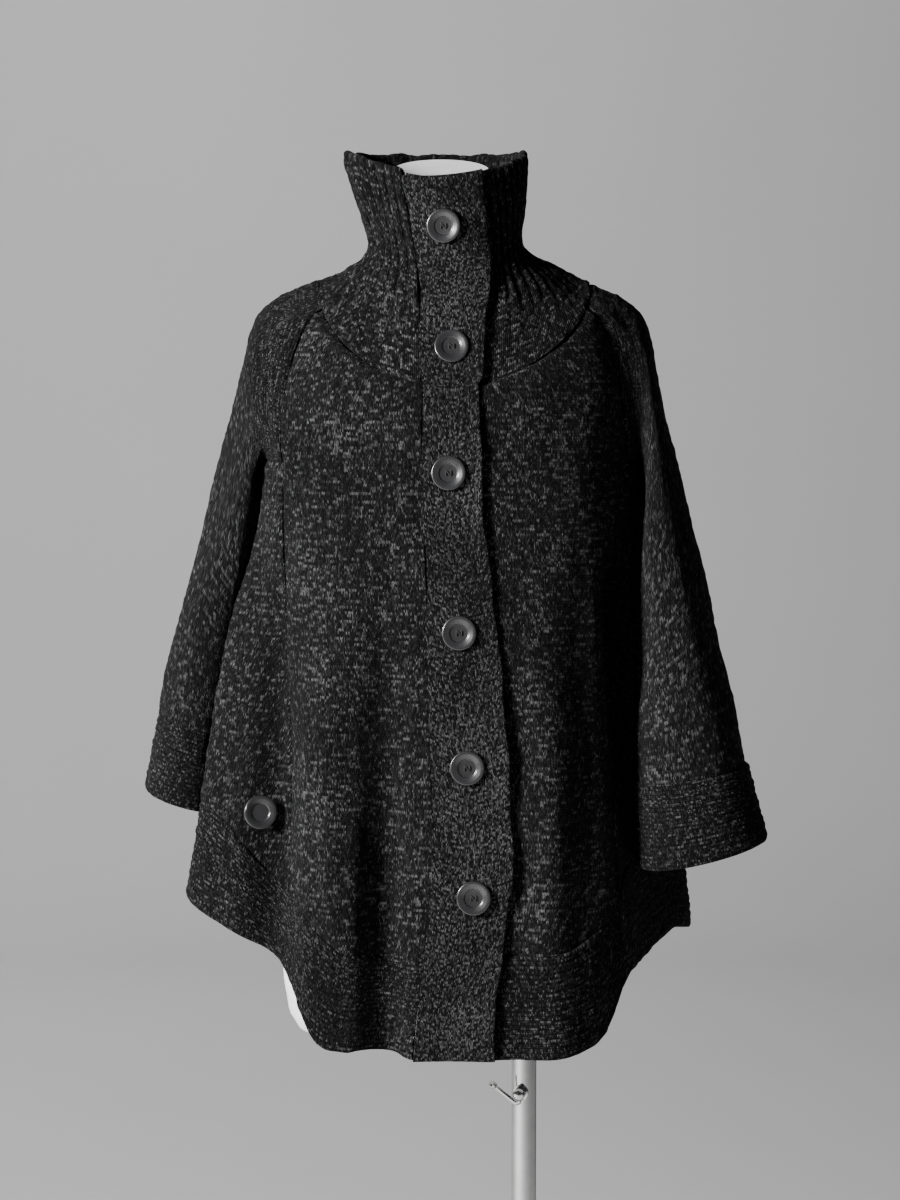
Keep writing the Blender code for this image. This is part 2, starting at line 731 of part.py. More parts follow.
def make_garment():
    """Every piece of cloth, as grids that share their seams' points."""
    yoke_z = COLLAR_RINGS[0][5]
    placket_end, under_end = placket_angles(yoke_z)[0], 360 + under_edge_angle(yoke_z)
    collar = Piece("collar", collar_grid(), RIBBED)
    spans = {
        "front_right": ((placket_end, RAGLAN_TOP), span_front_right, FRONT_STRIPS),
        "back": ((180 - RAGLAN_TOP, 180 + RAGLAN_TOP), span_back, BACK_STRIPS),
        "front_left": ((360 - RAGLAN_TOP, under_end), span_front_left, FRONT_STRIPS),
    }
    panels = {name: Piece(name, torso_grid(strips, yoke, low), PANEL) for name, (yoke, low, strips) in spans.items()}
    panels["side_right"] = Piece("side_right", lower_grid(SIDE_STRIPS, span_side_right), PANEL)
    panels["side_left"] = Piece("side_left", lower_grid(SIDE_STRIPS, span_side_left), PANEL)
    pieces = [collar, *panels.values()]
    first = 2 * FRONT_STRIPS
    last = first + 2 * SHOULDER_STRIPS
    yoke = collar.grid[-1]
    shoulders = {"right": yoke[first: last + 1: 2], "left": yoke[-1 - last: len(yoke) - first: 2][::-1]}
    front_seams = {"right": panels["front_right"].grid[:, -1], "left": panels["front_left"].grid[:, 0]}
    back_seams = {"right": panels["back"].grid[:, 0], "left": panels["back"].grid[:, -1]}
    for side, outward in (("right", -1), ("left", 1)):
        loop = sleeve_loop(side, front_seams[side], back_seams[side], shoulders[side])
        pieces.append(Piece("sleeve_" + side, sleeve_grid(side, loop), PANEL, True, outward))
        cuff = Piece("cuff_" + side, cuff_grid(side, len(loop)), RIBBED, True, outward)
        cuff.relief[1::2] = RIDGE_DEPTH
        cuff.inner_rows = cuff.inner_rows[::5]
        pieces.append(cuff)
    pieces += hem_bands()
    placket = Piece("placket", front_band_grid(4, span_placket), PLACKET)
    placket.lift[:] = LAP
    pieces += [placket, Piece("button_band", front_band_grid(4, span_button_band), PANEL)]
    raise_ribs(collar)
    raise_lap(collar, panels["front_right"], [piece for piece in pieces if piece.name == "hem_band_right"][0])
    return pieces


def raise_ribs(collar):
    """Ribs of the collar on its outer face only. The yoke's border is plain and stands a little proud."""
    places = np.array(COLLAR_ROWS)[::-1]
    ribbed = places > BORDER_END
    collar.relief[np.ix_(ribbed, np.arange(1, collar.grid.shape[1], 2))] = RIB_DEPTH
    collar.relief[~ribbed] = BORDER_PROUD
    collar.relief[:, -3:] = 0
    collar.inner_columns = collar.inner_columns[::2]


def raise_lap(collar, front, band):
    """Bring the wearer's right front up to the placket that lies over the other front."""
    for piece in (collar, front, band):
        columns = np.degrees(np.arctan2(-piece.grid[..., 0], -piece.grid[..., 1])) % 360
        for row, angles in enumerate(columns):
            piece.lift[row] = LAP * lap_share(angles, 0)


def hem_bands():
    """The ridged band in three lengths: from each front edge round the side, and across the back."""
    right = np.concatenate(
        (band_grid(FRONT_STRIPS, span_front_right), band_grid(SIDE_STRIPS, span_side_right)[:, 1:]), axis=1
    )
    left = np.concatenate(
        (band_grid(SIDE_STRIPS, span_side_left), band_grid(FRONT_STRIPS, span_front_left)[:, 1:]), axis=1
    )
    grids = {"hem_band_right": right, "hem_band_back": band_grid(BACK_STRIPS, span_back), "hem_band_left": left}
    bands = []
    for name, grid in grids.items():
        band = Piece(name, grid, RIBBED)
        band.relief[1::2] = RIDGE_DEPTH
        band.inner_rows = list(BAND_INNER_ROWS)
        bands.append(band)
    bands[-1].relief[:, -1] = 0
    return bands


def make_button():
    """Turned button with a rounded rim, a gently dished face and a deep flat well."""
    edge = BUTTON_RADIUS
    profile = (
        (0.0, 0.0),
        (edge * 0.82, 0.0),
        (edge, BUTTON_THICK * 0.45),
        (edge * 0.90, BUTTON_THICK),
        (edge * 0.56, BUTTON_THICK * 0.80),
        (edge * 0.52, BUTTON_THICK * 0.48),
        (0.0, BUTTON_THICK * 0.48),
    )
    return turned(profile, BUTTON_SIDES)


def place_button(name, material, angle, z, surface, cloth):
    """Button that rests against the cloth: moved out from the surface under it until it is clear."""
    facing = Vector(surface_normal(angle, z, surface))
    turn = facing.to_track_quat("Z", "Y").to_matrix().to_4x4()
    spot = Vector(surface(angle, z)) + Vector((FORM_AXIS_X, 0.0, 0.0))
    button = add_object(name, make_button(), material)
    for step in range(200):
        button.matrix_world = Matrix.Translation(spot + facing * BUTTON_STEP * step) @ turn
        if not touches(button, cloth):
            break
    button.matrix_world = Matrix.Translation(spot + facing * (BUTTON_STEP * step + BUTTON_GAP)) @ turn


def solid_tree(thing):
    """Search tree of an object's faces where it stands."""
    mesh = bmesh.new()
    mesh.from_mesh(thing.data)
    mesh.transform(thing.matrix_world)
    tree = BVHTree.FromBMesh(mesh)
    mesh.free()
    return tree


def touches(button, cloth):
    """Whether the button meets a piece of cloth, or lies with its middle behind the cloth's outer face."""
    tree = solid_tree(button)
    middle = button.matrix_world.translation
    outward = button.matrix_world.to_3x3() @ Vector((0.0, 0.0, 1.0))
    return any(tree.overlap(piece) or piece.ray_cast(middle, outward, 0.02)[0] for piece in cloth)


def surface_normal(angle, z, surface):
    """Outward direction of the cloth at a place, from its neighbours."""
    across = surface(angle + 3, z) - surface(angle - 3, z)
    down = surface(angle, z - 0.012) - surface(angle, z + 0.012)
    normal = np.cross(across, down)
    return normal / np.linalg.norm(normal)


def front_surface(angle, z):
    """Front of the garment at a height, on the collar, the chest or the hanging cloth."""
    if z < UNDERARM_Z:
        return body_point(angle, z)
    yoke = collar_ring(angle, COLLAR_RINGS[0])
    if z < yoke[2]:
        low = body_point(angle, UNDERARM_Z)
        share = (z - UNDERARM_Z) / (yoke[2] - UNDERARM_Z)
        point = low + (yoke - low) * share
        point[2] = z
        return point
    places = np.linspace(0, len(COLLAR_RINGS) - 1, 60)
    heights = [collar_ring(angle, collar_table_row(place))[2] for place in places]
    return collar_ring(angle, collar_table_row(float(np.interp(z, heights, places))))


def make_buttons(material, things):
    bpy.context.view_layer.update()
    cloth = [solid_tree(thing) for thing in things]
    for n, (z, shift) in enumerate(zip(BUTTON_HEIGHTS, BUTTON_SHIFT), start=1):
        right, left = placket_angles(z)
        angle = (right + left) / 2 - math.degrees(shift / np.hypot(*front_surface(0.0, z)[:2]))
        place_button(f"button_{n}", material, angle, z, front_surface, cloth)
    for side, angle in SIDE_BUTTON_ANGLE.items():
        place_button("side_button_" + side, material, angle, SIDE_BUTTON_Z, body_point, cloth)


def make_form(material):
    """Smooth torso with a neck, closed all round, with a bore in its underside for the mast."""
    mesh = bmesh.new()
    rings = []
    for z, half_width, front, back, tilt in FORM_RINGS:
        shift = NECK_SHIFT * smooth_step((z - 1.40) / 0.08)
        ring = []
        for n in range(FORM_SIDES):
            angle = 360 * n / FORM_SIDES
            point = ray(angle) * ring_reach(angle, half_width, half_width, front, back, FORM_SQUARE)
            ring.append(mesh.verts.new((point[0] + shift, point[1], z + tilt * point[1])))
        rings.append(ring)
    for low, high in zip(rings, rings[1:]):
        for n in range(FORM_SIDES):
            after = (n + 1) % FORM_SIDES
            mesh.faces.new((low[n], low[after], high[after], high[n]))
    mesh.faces.new(rings[0][::-1])
    mesh.faces.new(rings[-1])
    bmesh.ops.recalc_face_normals(mesh, faces=mesh.faces)
    form = add_object("dress_form", mesh, material, (FORM_AXIS_X, 0.0, 0.0))
    bottom = FORM_RINGS[0][0]
    cut_bore(form, MAST_RADIUS + 0.0004, bottom - 0.05, bottom + BORE_DEPTH, 0.0, 0.0)
    return form


def make_stand(chrome, base_material):
    """Round base, outer tube, mast that slides in it, and the clamp screw with its handle."""
    base = turned(
        (
            (BASE_RADIUS - 0.002, 0.0),
            (BASE_RADIUS, 0.002),
            (BASE_RADIUS, BASE_THICK - 0.004),
            (BASE_RADIUS - 0.004, BASE_THICK),
        ),
        BASE_SIDES,
    )
    add_object("base", base, base_material)
    foot = BASE_THICK + 0.0003
    tube = turned(
        (
            (SLEEVE_TUBE_RADIUS - TUBE_WALL, foot + 0.004),
            (SLEEVE_TUBE_RADIUS - TUBE_WALL, SLEEVE_TUBE_TOP),
            (SLEEVE_TUBE_RADIUS, SLEEVE_TUBE_TOP),
            (SLEEVE_TUBE_RADIUS, foot),
        ),
        ROUND_SIDES,
    )
    add_object("outer_tube", tube, chrome)
    mast_top = FORM_RINGS[0][0] + BORE_DEPTH - 0.0004
    add_object("mast", turned(((MAST_RADIUS, MAST_FOOT), (MAST_RADIUS, mast_top)), ROUND_SIDES), chrome)
    make_clamp(chrome)


def make_clamp(chrome):
    """Boss on the tube, and the screw in it with a bent handle that ends in a ball."""
    turn = Matrix.Rotation(CLAMP_TURN, 4, "Z") @ Matrix.Rotation(math.pi / 2, 4, "X")
    place = Matrix.Translation((0.0, 0.0, CLAMP_Z)) @ turn
    start = SLEEVE_TUBE_RADIUS + 0.0003
    boss = turned(((0.0075, start), (0.0075, start + 0.0045)), 20)
    add_object("clamp_boss", boss, chrome).matrix_world = place
    head = start + 0.0048
    screw = turned(
        (
            (CLAMP_HEAD_RADIUS, head),
            (CLAMP_HEAD_RADIUS, head + 0.0065),
            (0.0046, head + 0.0090),
            (0.0, head + 0.0100),
        ),
        20,
    )
    add_object("clamp_screw", screw, chrome).matrix_world = place
    route = [Vector((across, up, head + 0.0035)) for across, up in HANDLE_ROUTE]
    along = (route[-1] - route[-2]).normalized()
    rings = [(point, HANDLE_RADIUS) for point in route]
    for turn_share in (-60, -30, 0, 30, 60, 82):
        lift = math.radians(turn_share)
        centre = route[-1] + along * HANDLE_BALL * (1 + math.sin(lift))
        rings.append((centre, HANDLE_BALL * math.cos(lift)))
    add_object("clamp_handle", swept(rings, HANDLE_SIDES), chrome).matrix_world = place


def swept(rings, sides):
    """Closed round bar in the XY plane through (centre, radius) rings."""
    mesh = bmesh.new()
    loops = []
    for n, (centre, radius) in enumerate(rings):
        before = rings[max(n - 1, 0)][0]
        after = rings[min(n + 1, len(rings) - 1)][0]
        along = (after - before).normalized()
        across = along.cross(Vector((0.0, 0.0, 1.0)))
        loop = []
        for side in range(sides):
            turn = 2 * math.pi * side / sides
            offset = across * math.cos(turn) + Vector((0.0, 0.0, 1.0)) * math.sin(turn)
            loop.append(mesh.verts.new(centre + offset * radius))
        loops.append(loop)
    for low, high in zip(loops, loops[1:]):
        for side in range(sides):
            beside = (side + 1) % sides
            mesh.faces.new((low[side], low[beside], high[beside], high[side]))
    mesh.faces.new(loops[0][::-1])
    mesh.faces.new(loops[-1])
    bmesh.ops.recalc_face_normals(mesh, faces=mesh.faces)
    return mesh


def main():
    for thing in list(bpy.data.objects):
        bpy.data.objects.remove(thing)
    wool = make_material("charcoal marled knit", (0.045, 0.045, 0.047), 0.95)
    button_grey = make_material("dark grey button", (0.06, 0.06, 0.062), 0.45)
    white = make_material("white form", (0.85, 0.85, 0.84), 0.35)
    chrome = make_material("chrome", (0.72, 0.71, 0.70), 0.12, 1.0)
    steel = make_material("brushed steel", (0.55, 0.55, 0.55), 0.35, 1.0)
    pieces = make_garment()
    normals = shared_normals(pieces)
    tie_border(pieces[0], normals)
    cloth = [build_cloth(piece, normals, wool) for piece in pieces]
    make_buttons(button_grey, cloth)
    make_form(white)
    make_stand(chrome, steel)


main()
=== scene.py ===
"""Looks of the button poncho on its dress form and stand.

Metres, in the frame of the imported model: +Z up, the garment's front faces -Y, and +X is the viewer's right.
The garment is drawn about its own upright axis, as its solids are. Places round it are angles in degrees, seen
from above: 0 is the front, 90 the wearer's right, 180 the back and 270 the wearer's left. Every array of points
is a grid, with rows that run down the cloth and columns that run round it.
"""

import math

import bmesh
import bpy
import numpy as np
from mathutils import Matrix, Vector


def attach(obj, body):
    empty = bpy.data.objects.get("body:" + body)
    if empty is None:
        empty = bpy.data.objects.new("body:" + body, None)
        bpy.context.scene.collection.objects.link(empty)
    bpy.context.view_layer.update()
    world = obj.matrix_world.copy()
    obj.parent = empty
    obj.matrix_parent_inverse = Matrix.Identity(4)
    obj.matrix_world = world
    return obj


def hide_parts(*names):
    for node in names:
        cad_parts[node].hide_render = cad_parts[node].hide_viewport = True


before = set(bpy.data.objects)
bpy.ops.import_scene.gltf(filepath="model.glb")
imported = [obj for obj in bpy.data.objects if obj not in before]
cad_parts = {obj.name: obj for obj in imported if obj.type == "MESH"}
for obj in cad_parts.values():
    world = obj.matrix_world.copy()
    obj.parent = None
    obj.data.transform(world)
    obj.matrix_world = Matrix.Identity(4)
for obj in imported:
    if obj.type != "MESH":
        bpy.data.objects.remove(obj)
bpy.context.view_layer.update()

TAU = 2 * math.pi

# The garment's axis lies this far from the mast
FORM_AXIS_X = -0.075

# Cloth
PANEL = 0.003
RIBBED = 0.004
PLACKET = 0.004
# How far the overlapping front is raised, and the angle over which it comes down again
LAP = PLACKET + 0.0012
LAP_RUN = 26.0
UNDERARM_GAP = 0.0012
UNDER_BAND_INSET = 0.004
# How far the front lies from the axis, about
FRONT_REACH = 0.15
# How far the chest and back round out between yoke and underarm: a lower power is rounder
SHOULDER_POWER = 0.62

# Ribs of the collar, ridges of the bands
RIB_DEPTH = 0.0022
RIB_PITCH = 0.0096
RIB_CELLS = 6
BORDER_PROUD = 0.0014
RIDGE_DEPTH = 0.0018
RIDGE_PITCH = 0.009
RIDGE_CELLS = 6
BAND_RIDGES = 11
CUFF_RIDGES = 10

# Seams that run down the body: how far each lies from the axis
FRONT_SEAM_X = {"right": 0.163, "left": 0.172}
BACK_SEAM_X = 0.158
RAGLAN_TOP = 67.5

# Ribs that start at the yoke's lower edge
FRONT_STRIPS = 8
SHOULDER_STRIPS = 6
BACK_STRIPS = 16

# Strips round the armhole
HALF_SHOULDER_STRIPS = 3
RAGLAN_STRIPS = 5
UNDERARM_STRIPS = 8

UNDERARM_Z = 1.255
# Height at which each column's angle is read for the edges below it
MIDDLE_Z = 0.85

# Plan of the body at each height: how far it reaches to each side, and how square its corners are
LEVELS = (
    # height, right, left, front, back, squareness
    (0.660, 0.262, 0.258, 0.168, 0.166, 2.4),
    (0.800, 0.250, 0.250, 0.166, 0.162, 2.4),
    (0.900, 0.231, 0.236, 0.163, 0.157, 2.4),
    (1.000, 0.212, 0.220, 0.159, 0.151, 2.4),
    (1.100, 0.198, 0.206, 0.154, 0.145, 2.4),
    (1.190, 0.189, 0.194, 0.148, 0.138, 2.5),
    (UNDERARM_Z, 0.185, 0.186, 0.143, 0.132, 2.6),
)

# Rings of the collar, from the yoke's lower edge to the rim. Front, side and back lie at their own heights
COLLAR_RINGS = (
    # right, left, front, back, squareness, front height, side height, back height
    (0.130, 0.138, 0.128, 0.116, 2.6, 1.325, 1.432, 1.380),
    (0.103, 0.108, 0.107, 0.098, 2.2, 1.392, 1.443, 1.432),
    (0.0795, 0.0715, 0.084, 0.077, 2.0, 1.446, 1.463, 1.474),
    (0.091, 0.0735, 0.084, 0.082, 2.0, 1.490, 1.509, 1.521),
    (0.103, 0.0768, 0.086, 0.088, 2.0, 1.527, 1.555, 1.559),
)
YOKE_Z = COLLAR_RINGS[0][5]
BORDER_END = 0.31
COLLAR_FALL = 1.4

# Heights of the band's seam and of the hem, by the angle from the front or the back: 90 is the side
BAND_EDGE = (
    # angle, wearer's right seam and hem, wearer's left seam and hem
    (0.0, 0.788, 0.690, 0.788, 0.690),
    (24.0, 0.788, 0.690, 0.788, 0.690),
    (32.0, 0.792, 0.693, 0.789, 0.691),
    (40.0, 0.813, 0.704, 0.796, 0.694),
    (44.0, 0.822, 0.722, 0.804, 0.698),
    (48.0, 0.831, 0.747, 0.814, 0.708),
    (52.0, 0.842, 0.769, 0.827, 0.730),
    (56.0, 0.856, 0.785, 0.840, 0.751),
    (60.0, 0.873, 0.795, 0.850, 0.762),
    (66.0, 0.900, 0.810, 0.857, 0.767),
    (74.0, 0.917, 0.826, 0.864, 0.772),
    (82.0, 0.922, 0.836, 0.871, 0.779),
    (90.0, 0.924, 0.841, 0.876, 0.786),
)
HEM_FRONT_Z = 0.690

# Front edges of the placket, by height
PLACKET_EDGES = (
    # height, wearer's right edge, wearer's left edge
    (0.660, 0.036, 0.039),
    (0.720, 0.032, 0.0405),
    (0.790, 0.024, 0.0475),
    (0.850, 0.018, 0.056),
    (0.985, 0.019, 0.0525),
    (1.095, 0.0215, 0.043),
    (1.220, 0.026, 0.029),
    (1.315, 0.0285, 0.028),
    (1.378, 0.0287, 0.0325),
    (1.445, 0.030, 0.0355),
    (1.530, 0.045, 0.027),
)

# Folds of the hanging cloth: out of the plan where the depth is above 0, into it where it is below. What is
# left at the hem is a share of the depth
FOLDS = (
    # angle at the underarm and at the hem, half-width, depth, way it faces, starts at, full at, left at the hem
    (21.0, 20.5, 10.0, -0.020, 0.0, 1.18, 0.86, 1.0),
    (38.0, 33.0, 15.0, 0.010, 10.0, 1.22, 0.95, 1.0),
    (61.0, 51.5, 11.0, -0.034, 15.0, 1.23, 0.95, 0.8),
    (84.0, 73.0, 16.0, 0.024, 80.0, UNDERARM_Z, 1.02, 1.0),
    (108.0, 110.0, 20.0, -0.030, 90.0, UNDERARM_Z, 1.05, 0.5),
    (140.0, 141.0, 14.0, 0.010, 150.0, 1.20, 0.90, 1.0),
    (161.0, 161.0, 14.0, -0.011, 180.0, 1.22, 0.90, 1.0),
    (182.0, 182.0, 14.0, 0.010, 180.0, 1.23, 0.90, 1.0),
    (203.0, 203.0, 14.0, -0.011, 180.0, 1.22, 0.90, 1.0),
    (224.0, 224.0, 14.0, 0.010, 210.0, 1.20, 0.90, 1.0),
    (250.0, 250.0, 15.0, 0.010, 250.0, 1.23, 0.97, 1.0),
    (282.0, 286.0, 32.0, -0.062, 270.0, UNDERARM_Z, 1.10, 0.7),
    (311.0, 309.0, 10.0, -0.012, 0.0, 1.22, 0.95, 1.0),
    (329.0, 328.0, 12.0, 0.011, 345.0, 1.23, 0.95, 1.0),
)

# Sections down each sleeve: its outer and inner line seen from the front, and its place from front to back
SLEEVES = {
    "right": (
        # outer x, outer z, inner x, inner z, middle y, half-depth
        (0.196, 1.4075, 0.188, 1.251, 0.000, 0.058),
        (0.2015, 1.390, 0.1895, 1.238, 0.002, 0.062),
        (0.204, 1.352, 0.191, 1.215, 0.008, 0.066),
        (0.222, 1.280, 0.195, 1.168, 0.020, 0.070),
        (0.244, 1.200, 0.202, 1.112, 0.036, 0.073),
        (0.266, 1.130, 0.210, 1.062, 0.048, 0.075),
        (0.283, 1.060, 0.217, 1.015, 0.057, 0.075),
        (0.296, 1.001, 0.222, 0.974, 0.062, 0.075),
    ),
    "left": (
        (0.195, 1.407, 0.188, 1.251, 0.000, 0.058),
        (0.2005, 1.389, 0.1895, 1.238, -0.004, 0.062),
        (0.2025, 1.346, 0.1900, 1.214, -0.015, 0.066),
        (0.2165, 1.275, 0.1850, 1.165, -0.034, 0.069),
        (0.236, 1.195, 0.181, 1.105, -0.047, 0.070),
        (0.253, 1.118, 0.182, 1.050, -0.056, 0.070),
        (0.2705, 1.038, 0.181, 0.998, -0.066, 0.069),
        (0.289, 0.962, 0.181, 0.945, -0.074, 0.068),
    ),
}
CUFF_EDGES = {
    "right": (0.313, 0.922, 0.229, 0.897, 0.066, 0.079),
    "left": (0.308, 0.893, 0.184, 0.862, -0.084, 0.070),
}
# How far the first sections have turned from the armhole's line to the sleeve's, over the arm and under it
TURNED_OVER = (0.5, 0.85, 1.0, 1.0)
TURNED_UNDER = (0.35, 0.6, 0.8, 0.95)
SLEEVE_SQUARE = 2.1

# Dress form, from its underside to the neck
FORM_RINGS = (
    # height, half-width, front, back, forward tilt
    (0.672, 0.110, 0.060, 0.068, 0.0),
    (0.679, 0.142, 0.084, 0.093, 0.0),
    (0.692, 0.157, 0.099, 0.110, 0.0),
    (0.718, 0.165, 0.109, 0.121, 0.0),
    (0.760, 0.169, 0.113, 0.126, 0.0),
    (0.810, 0.168, 0.114, 0.127, 0.0),
    (0.880, 0.158, 0.109, 0.118, 0.0),
    (0.960, 0.137, 0.100, 0.103, 0.0),
    (1.040, 0.122, 0.094, 0.093, 0.0),
    (1.110, 0.127, 0.101, 0.097, 0.0),
    (1.180, 0.140, 0.117, 0.105, 0.0),
    (1.240, 0.150, 0.128, 0.111, 0.0),
    (1.300, 0.157, 0.117, 0.112, 0.0),
    (1.345, 0.166, 0.096, 0.102, 0.0),
    (1.380, 0.170, 0.078, 0.088, 0.0),
    (1.4055, 0.158, 0.067, 0.074, 0.0),
    (1.4230, 0.115, 0.057, 0.062, 0.0),
    (1.4390, 0.075, 0.052, 0.055, 0.0),
    (1.462, 0.058, 0.051, 0.051, 0.05),
    (1.500, 0.051, 0.050, 0.050, 0.15),
    (1.536, 0.050, 0.050, 0.050, 0.32),
    (1.540, 0.048, 0.048, 0.048, 0.32),
)
FORM_SQUARE = 2.1
# The neck stands this far to the side, above a bend that starts at a height and takes this long
NECK_SHIFT = -0.009
NECK_START = 1.40
NECK_BEND = 0.08
BORE_DEPTH = 0.16

# Buttons
BUTTON_RADIUS = 0.0167
BUTTON_THICK = 0.0048
# Height of the button's dish as a share of its thickness
BUTTON_DISH = 0.47
HOLE_RADIUS = 0.0013
# How far each hole lies from the button's middle, across and up
HOLE_X = 0.0024
THREAD_RADIUS = 0.00068

# Stand
BASE_RADIUS = 0.175
BASE_THICK = 0.012
SLEEVE_TUBE_RADIUS = 0.0127
TUBE_WALL = 0.0012
SLEEVE_TUBE_TOP = 0.668
MAST_RADIUS = 0.0111
MAST_FOOT = 0.240


def smooth_step(share):
    share = np.clip(share, 0.0, 1.0)
    return share * share * (3 - 2 * share)


def curve(table, value):
    """Columns of a table at values of its first one, on a smooth curve through the rows."""
    rows = np.array(table, float)
    knots = rows[:, 0]
    slopes = np.gradient(rows, knots, axis=0)
    value = np.asarray(value, float)
    at = np.clip(np.searchsorted(knots, value) - 1, 0, len(knots) - 2)
    span = knots[at + 1] - knots[at]
    t = np.clip((value - knots[at]) / span, 0.0, 1.0)[..., None]
    span = span[..., None]
    start = rows[at] * (1 + 2 * t) * (1 - t) ** 2 + slopes[at] * span * t * (1 - t) ** 2
    end = rows[at + 1] * t * t * (3 - 2 * t) + slopes[at + 1] * span * t * t * (t - 1)
    return np.moveaxis((start + end)[..., 1:], -1, 0)


def ring_reach(angle, right, left, front, back, square):
    """Distance from the axis to a rounded ring along the ray at this angle."""
    across = np.sin(np.radians(angle))
    along = np.cos(np.radians(angle))
    side = np.where(across > 0, right, left)
    depth = np.where(along > 0, front, back)
    return ((np.abs(across) / side) ** square + (np.abs(along) / depth) ** square) ** (-1 / square)


def ray(angle):
    angle = np.radians(angle)
    return np.stack((-np.sin(angle), -np.cos(angle), np.zeros_like(angle)), axis=-1)


def ring_angle(x, side, depth, square):
    """Angle from the ring's middle at which it lies x from the axis."""
    return np.degrees(np.arctan2(x, depth * (1 - (x / side) ** square) ** (1 / square)))


def fold_shift(angle, z):
    """How far the folds move the hanging cloth."""
    shift = np.zeros(np.shape(angle) + (3,))
    for top, hem, half_width, full, facing, start, end, share in FOLDS:
        down = smooth_step((UNDERARM_Z - z) / (UNDERARM_Z - HEM_FRONT_Z))
        apart = np.abs((angle - top - (hem - top) * down + 180) % 360 - 180)
        grown = smooth_step((start - z) / (start - end))
        kept = 1 - (1 - share) * smooth_step((end - z) / (end - HEM_FRONT_Z))
        height = full * grown * kept * (0.5 + 0.5 * np.cos(np.pi * np.minimum(apart / half_width, 1)))
        shift += ray(float(facing)) * height[..., None]
    return shift


def body_point(angle, z):
    """Point of the hanging cloth's outer face, below the underarm."""
    point = ray(angle) * ring_reach(angle, *curve(LEVELS, z))[..., None] + fold_shift(angle, z)
    point[..., 2] = z
    return point


def collar_ring(angle, ring):
    right, left, front, back, square, front_z, side_z, back_z = ring
    along = np.cos(np.radians(angle))
    far = np.where(along > 0, front_z, back_z)
    point = ray(angle) * ring_reach(angle, right, left, front, back, square)[..., None]
    point[..., 2] = side_z + (far - side_z) * np.abs(along) ** COLLAR_FALL
    return point


def collar_place(place):
    """Ring of the collar at a place between two rings, counted from the yoke's lower edge."""
    return curve([(n,) + ring for n, ring in enumerate(COLLAR_RINGS)], place)


def placket_angles(z):
    """Angles of the placket's edges: the wearer's right one, and the left one as an angle below 0."""
    z = np.asarray(z, float)
    right_x, left_x = curve(PLACKET_EDGES, z)
    places = np.linspace(0, len(COLLAR_RINGS) - 1, 120)
    ring = collar_place(np.interp(z, collar_place(places)[5], places))
    low = curve(LEVELS, np.minimum(z, UNDERARM_Z))
    right, left, front, square = (np.where(z > YOKE_Z, ring[n], low[n]) for n in (0, 1, 2, 4))
    return ring_angle(right_x, right, front, square), -ring_angle(left_x, left, front, square)


def seam_angles(z):
    """Angles of the four seams that run down the body."""
    right, left, front, back, square = curve(LEVELS, np.minimum(z, UNDERARM_Z))
    return (
        ring_angle(FRONT_SEAM_X["right"], right, front, square),
        180 - ring_angle(BACK_SEAM_X, right, back, square),
        180 + ring_angle(BACK_SEAM_X, left, back, square),
        360 - ring_angle(FRONT_SEAM_X["left"], left, front, square),
    )


def band_heights(angle):
    """Heights of the band's seam and of the hem at an angle."""
    rows = curve(BAND_EDGE, 90 - np.abs(angle % 180 - 90))
    wearer_right = angle % 360 < 180
    return np.where(wearer_right, rows[0], rows[2]), np.where(wearer_right, rows[1], rows[3])


def under_edge_angle(z):
    """Angle at which the wearer's left front meets the lower band, just under the placket's edge."""
    return placket_angles(z)[1] + math.degrees(UNDER_BAND_INSET / FRONT_REACH)


SPANS = {
    "front_right": lambda z: (placket_angles(z)[0], seam_angles(z)[0]),
    "side_right": lambda z: seam_angles(z)[0:2],
    "back": lambda z: seam_angles(z)[1:3],
    "side_left": lambda z: seam_angles(z)[2:4],
    "front_left": lambda z: (seam_angles(z)[3], 360 + under_edge_angle(z)),
    "placket": lambda z: placket_angles(z)[::-1],
    "button_band": lambda z: (under_edge_angle(z), placket_angles(z)[0] - 1.5),
}


def between(first, last, shares):
    return first + (last - first) * shares


def shoulder_span(name):
    """Angles of a piece's two edges where it leaves the yoke."""
    spans = {
        "front_right": (placket_angles(YOKE_Z)[0], RAGLAN_TOP),
        "back": (180 - RAGLAN_TOP, 180 + RAGLAN_TOP),
        "front_left": (360 - RAGLAN_TOP, 360 + under_edge_angle(YOKE_Z)),
    }
    return spans.get(name) or SPANS[name](YOKE_Z)


def shoulder_points(angle, down, gap=0.0):
    """Points on the round of the chest, back or shoulder, from the yoke's edge down to the underarm."""
    top = collar_ring(angle, COLLAR_RINGS[0])
    low = ray(angle) * (ring_reach(angle, *curve(LEVELS, UNDERARM_Z)) + gap)[..., None]
    point = top + (low - top) * (np.sin(np.pi / 2 * down) ** SHOULDER_POWER)[..., None]
    point[..., 2] = between(top[..., 2], UNDERARM_Z, down)
    return point


def shoulder_grid(name, shares, rows):
    down = (np.arange(rows) / rows)[:, None]
    angle = between(between(*shoulder_span(name), shares), between(*SPANS[name](UNDERARM_Z), shares), down)
    return shoulder_points(angle, down)


def hanging_grid(name, shares, rows, first, last):
    """Grid of hanging cloth between two of its edges: 0 is the underarm, 1 the band's seam and 2 the hem."""
    edges = (UNDERARM_Z, *band_heights(between(*SPANS[name](MIDDLE_Z), shares)))
    z = between(edges[first], edges[last], np.linspace(0, 1, rows + 1)[:, None])
    return body_point(between(*SPANS[name](z), shares), z)


def collar_strip(name, shares, rows):
    """Rows of the placket, or of the band under it, alongside the collar."""
    strip = []
    for place in np.linspace(len(COLLAR_RINGS) - 1, 0, rows + 1)[:-1]:
        ring = collar_place(place)
        strip.append(collar_ring(between(*SPANS[name](ring[5]), shares), ring))
    return np.array(strip)


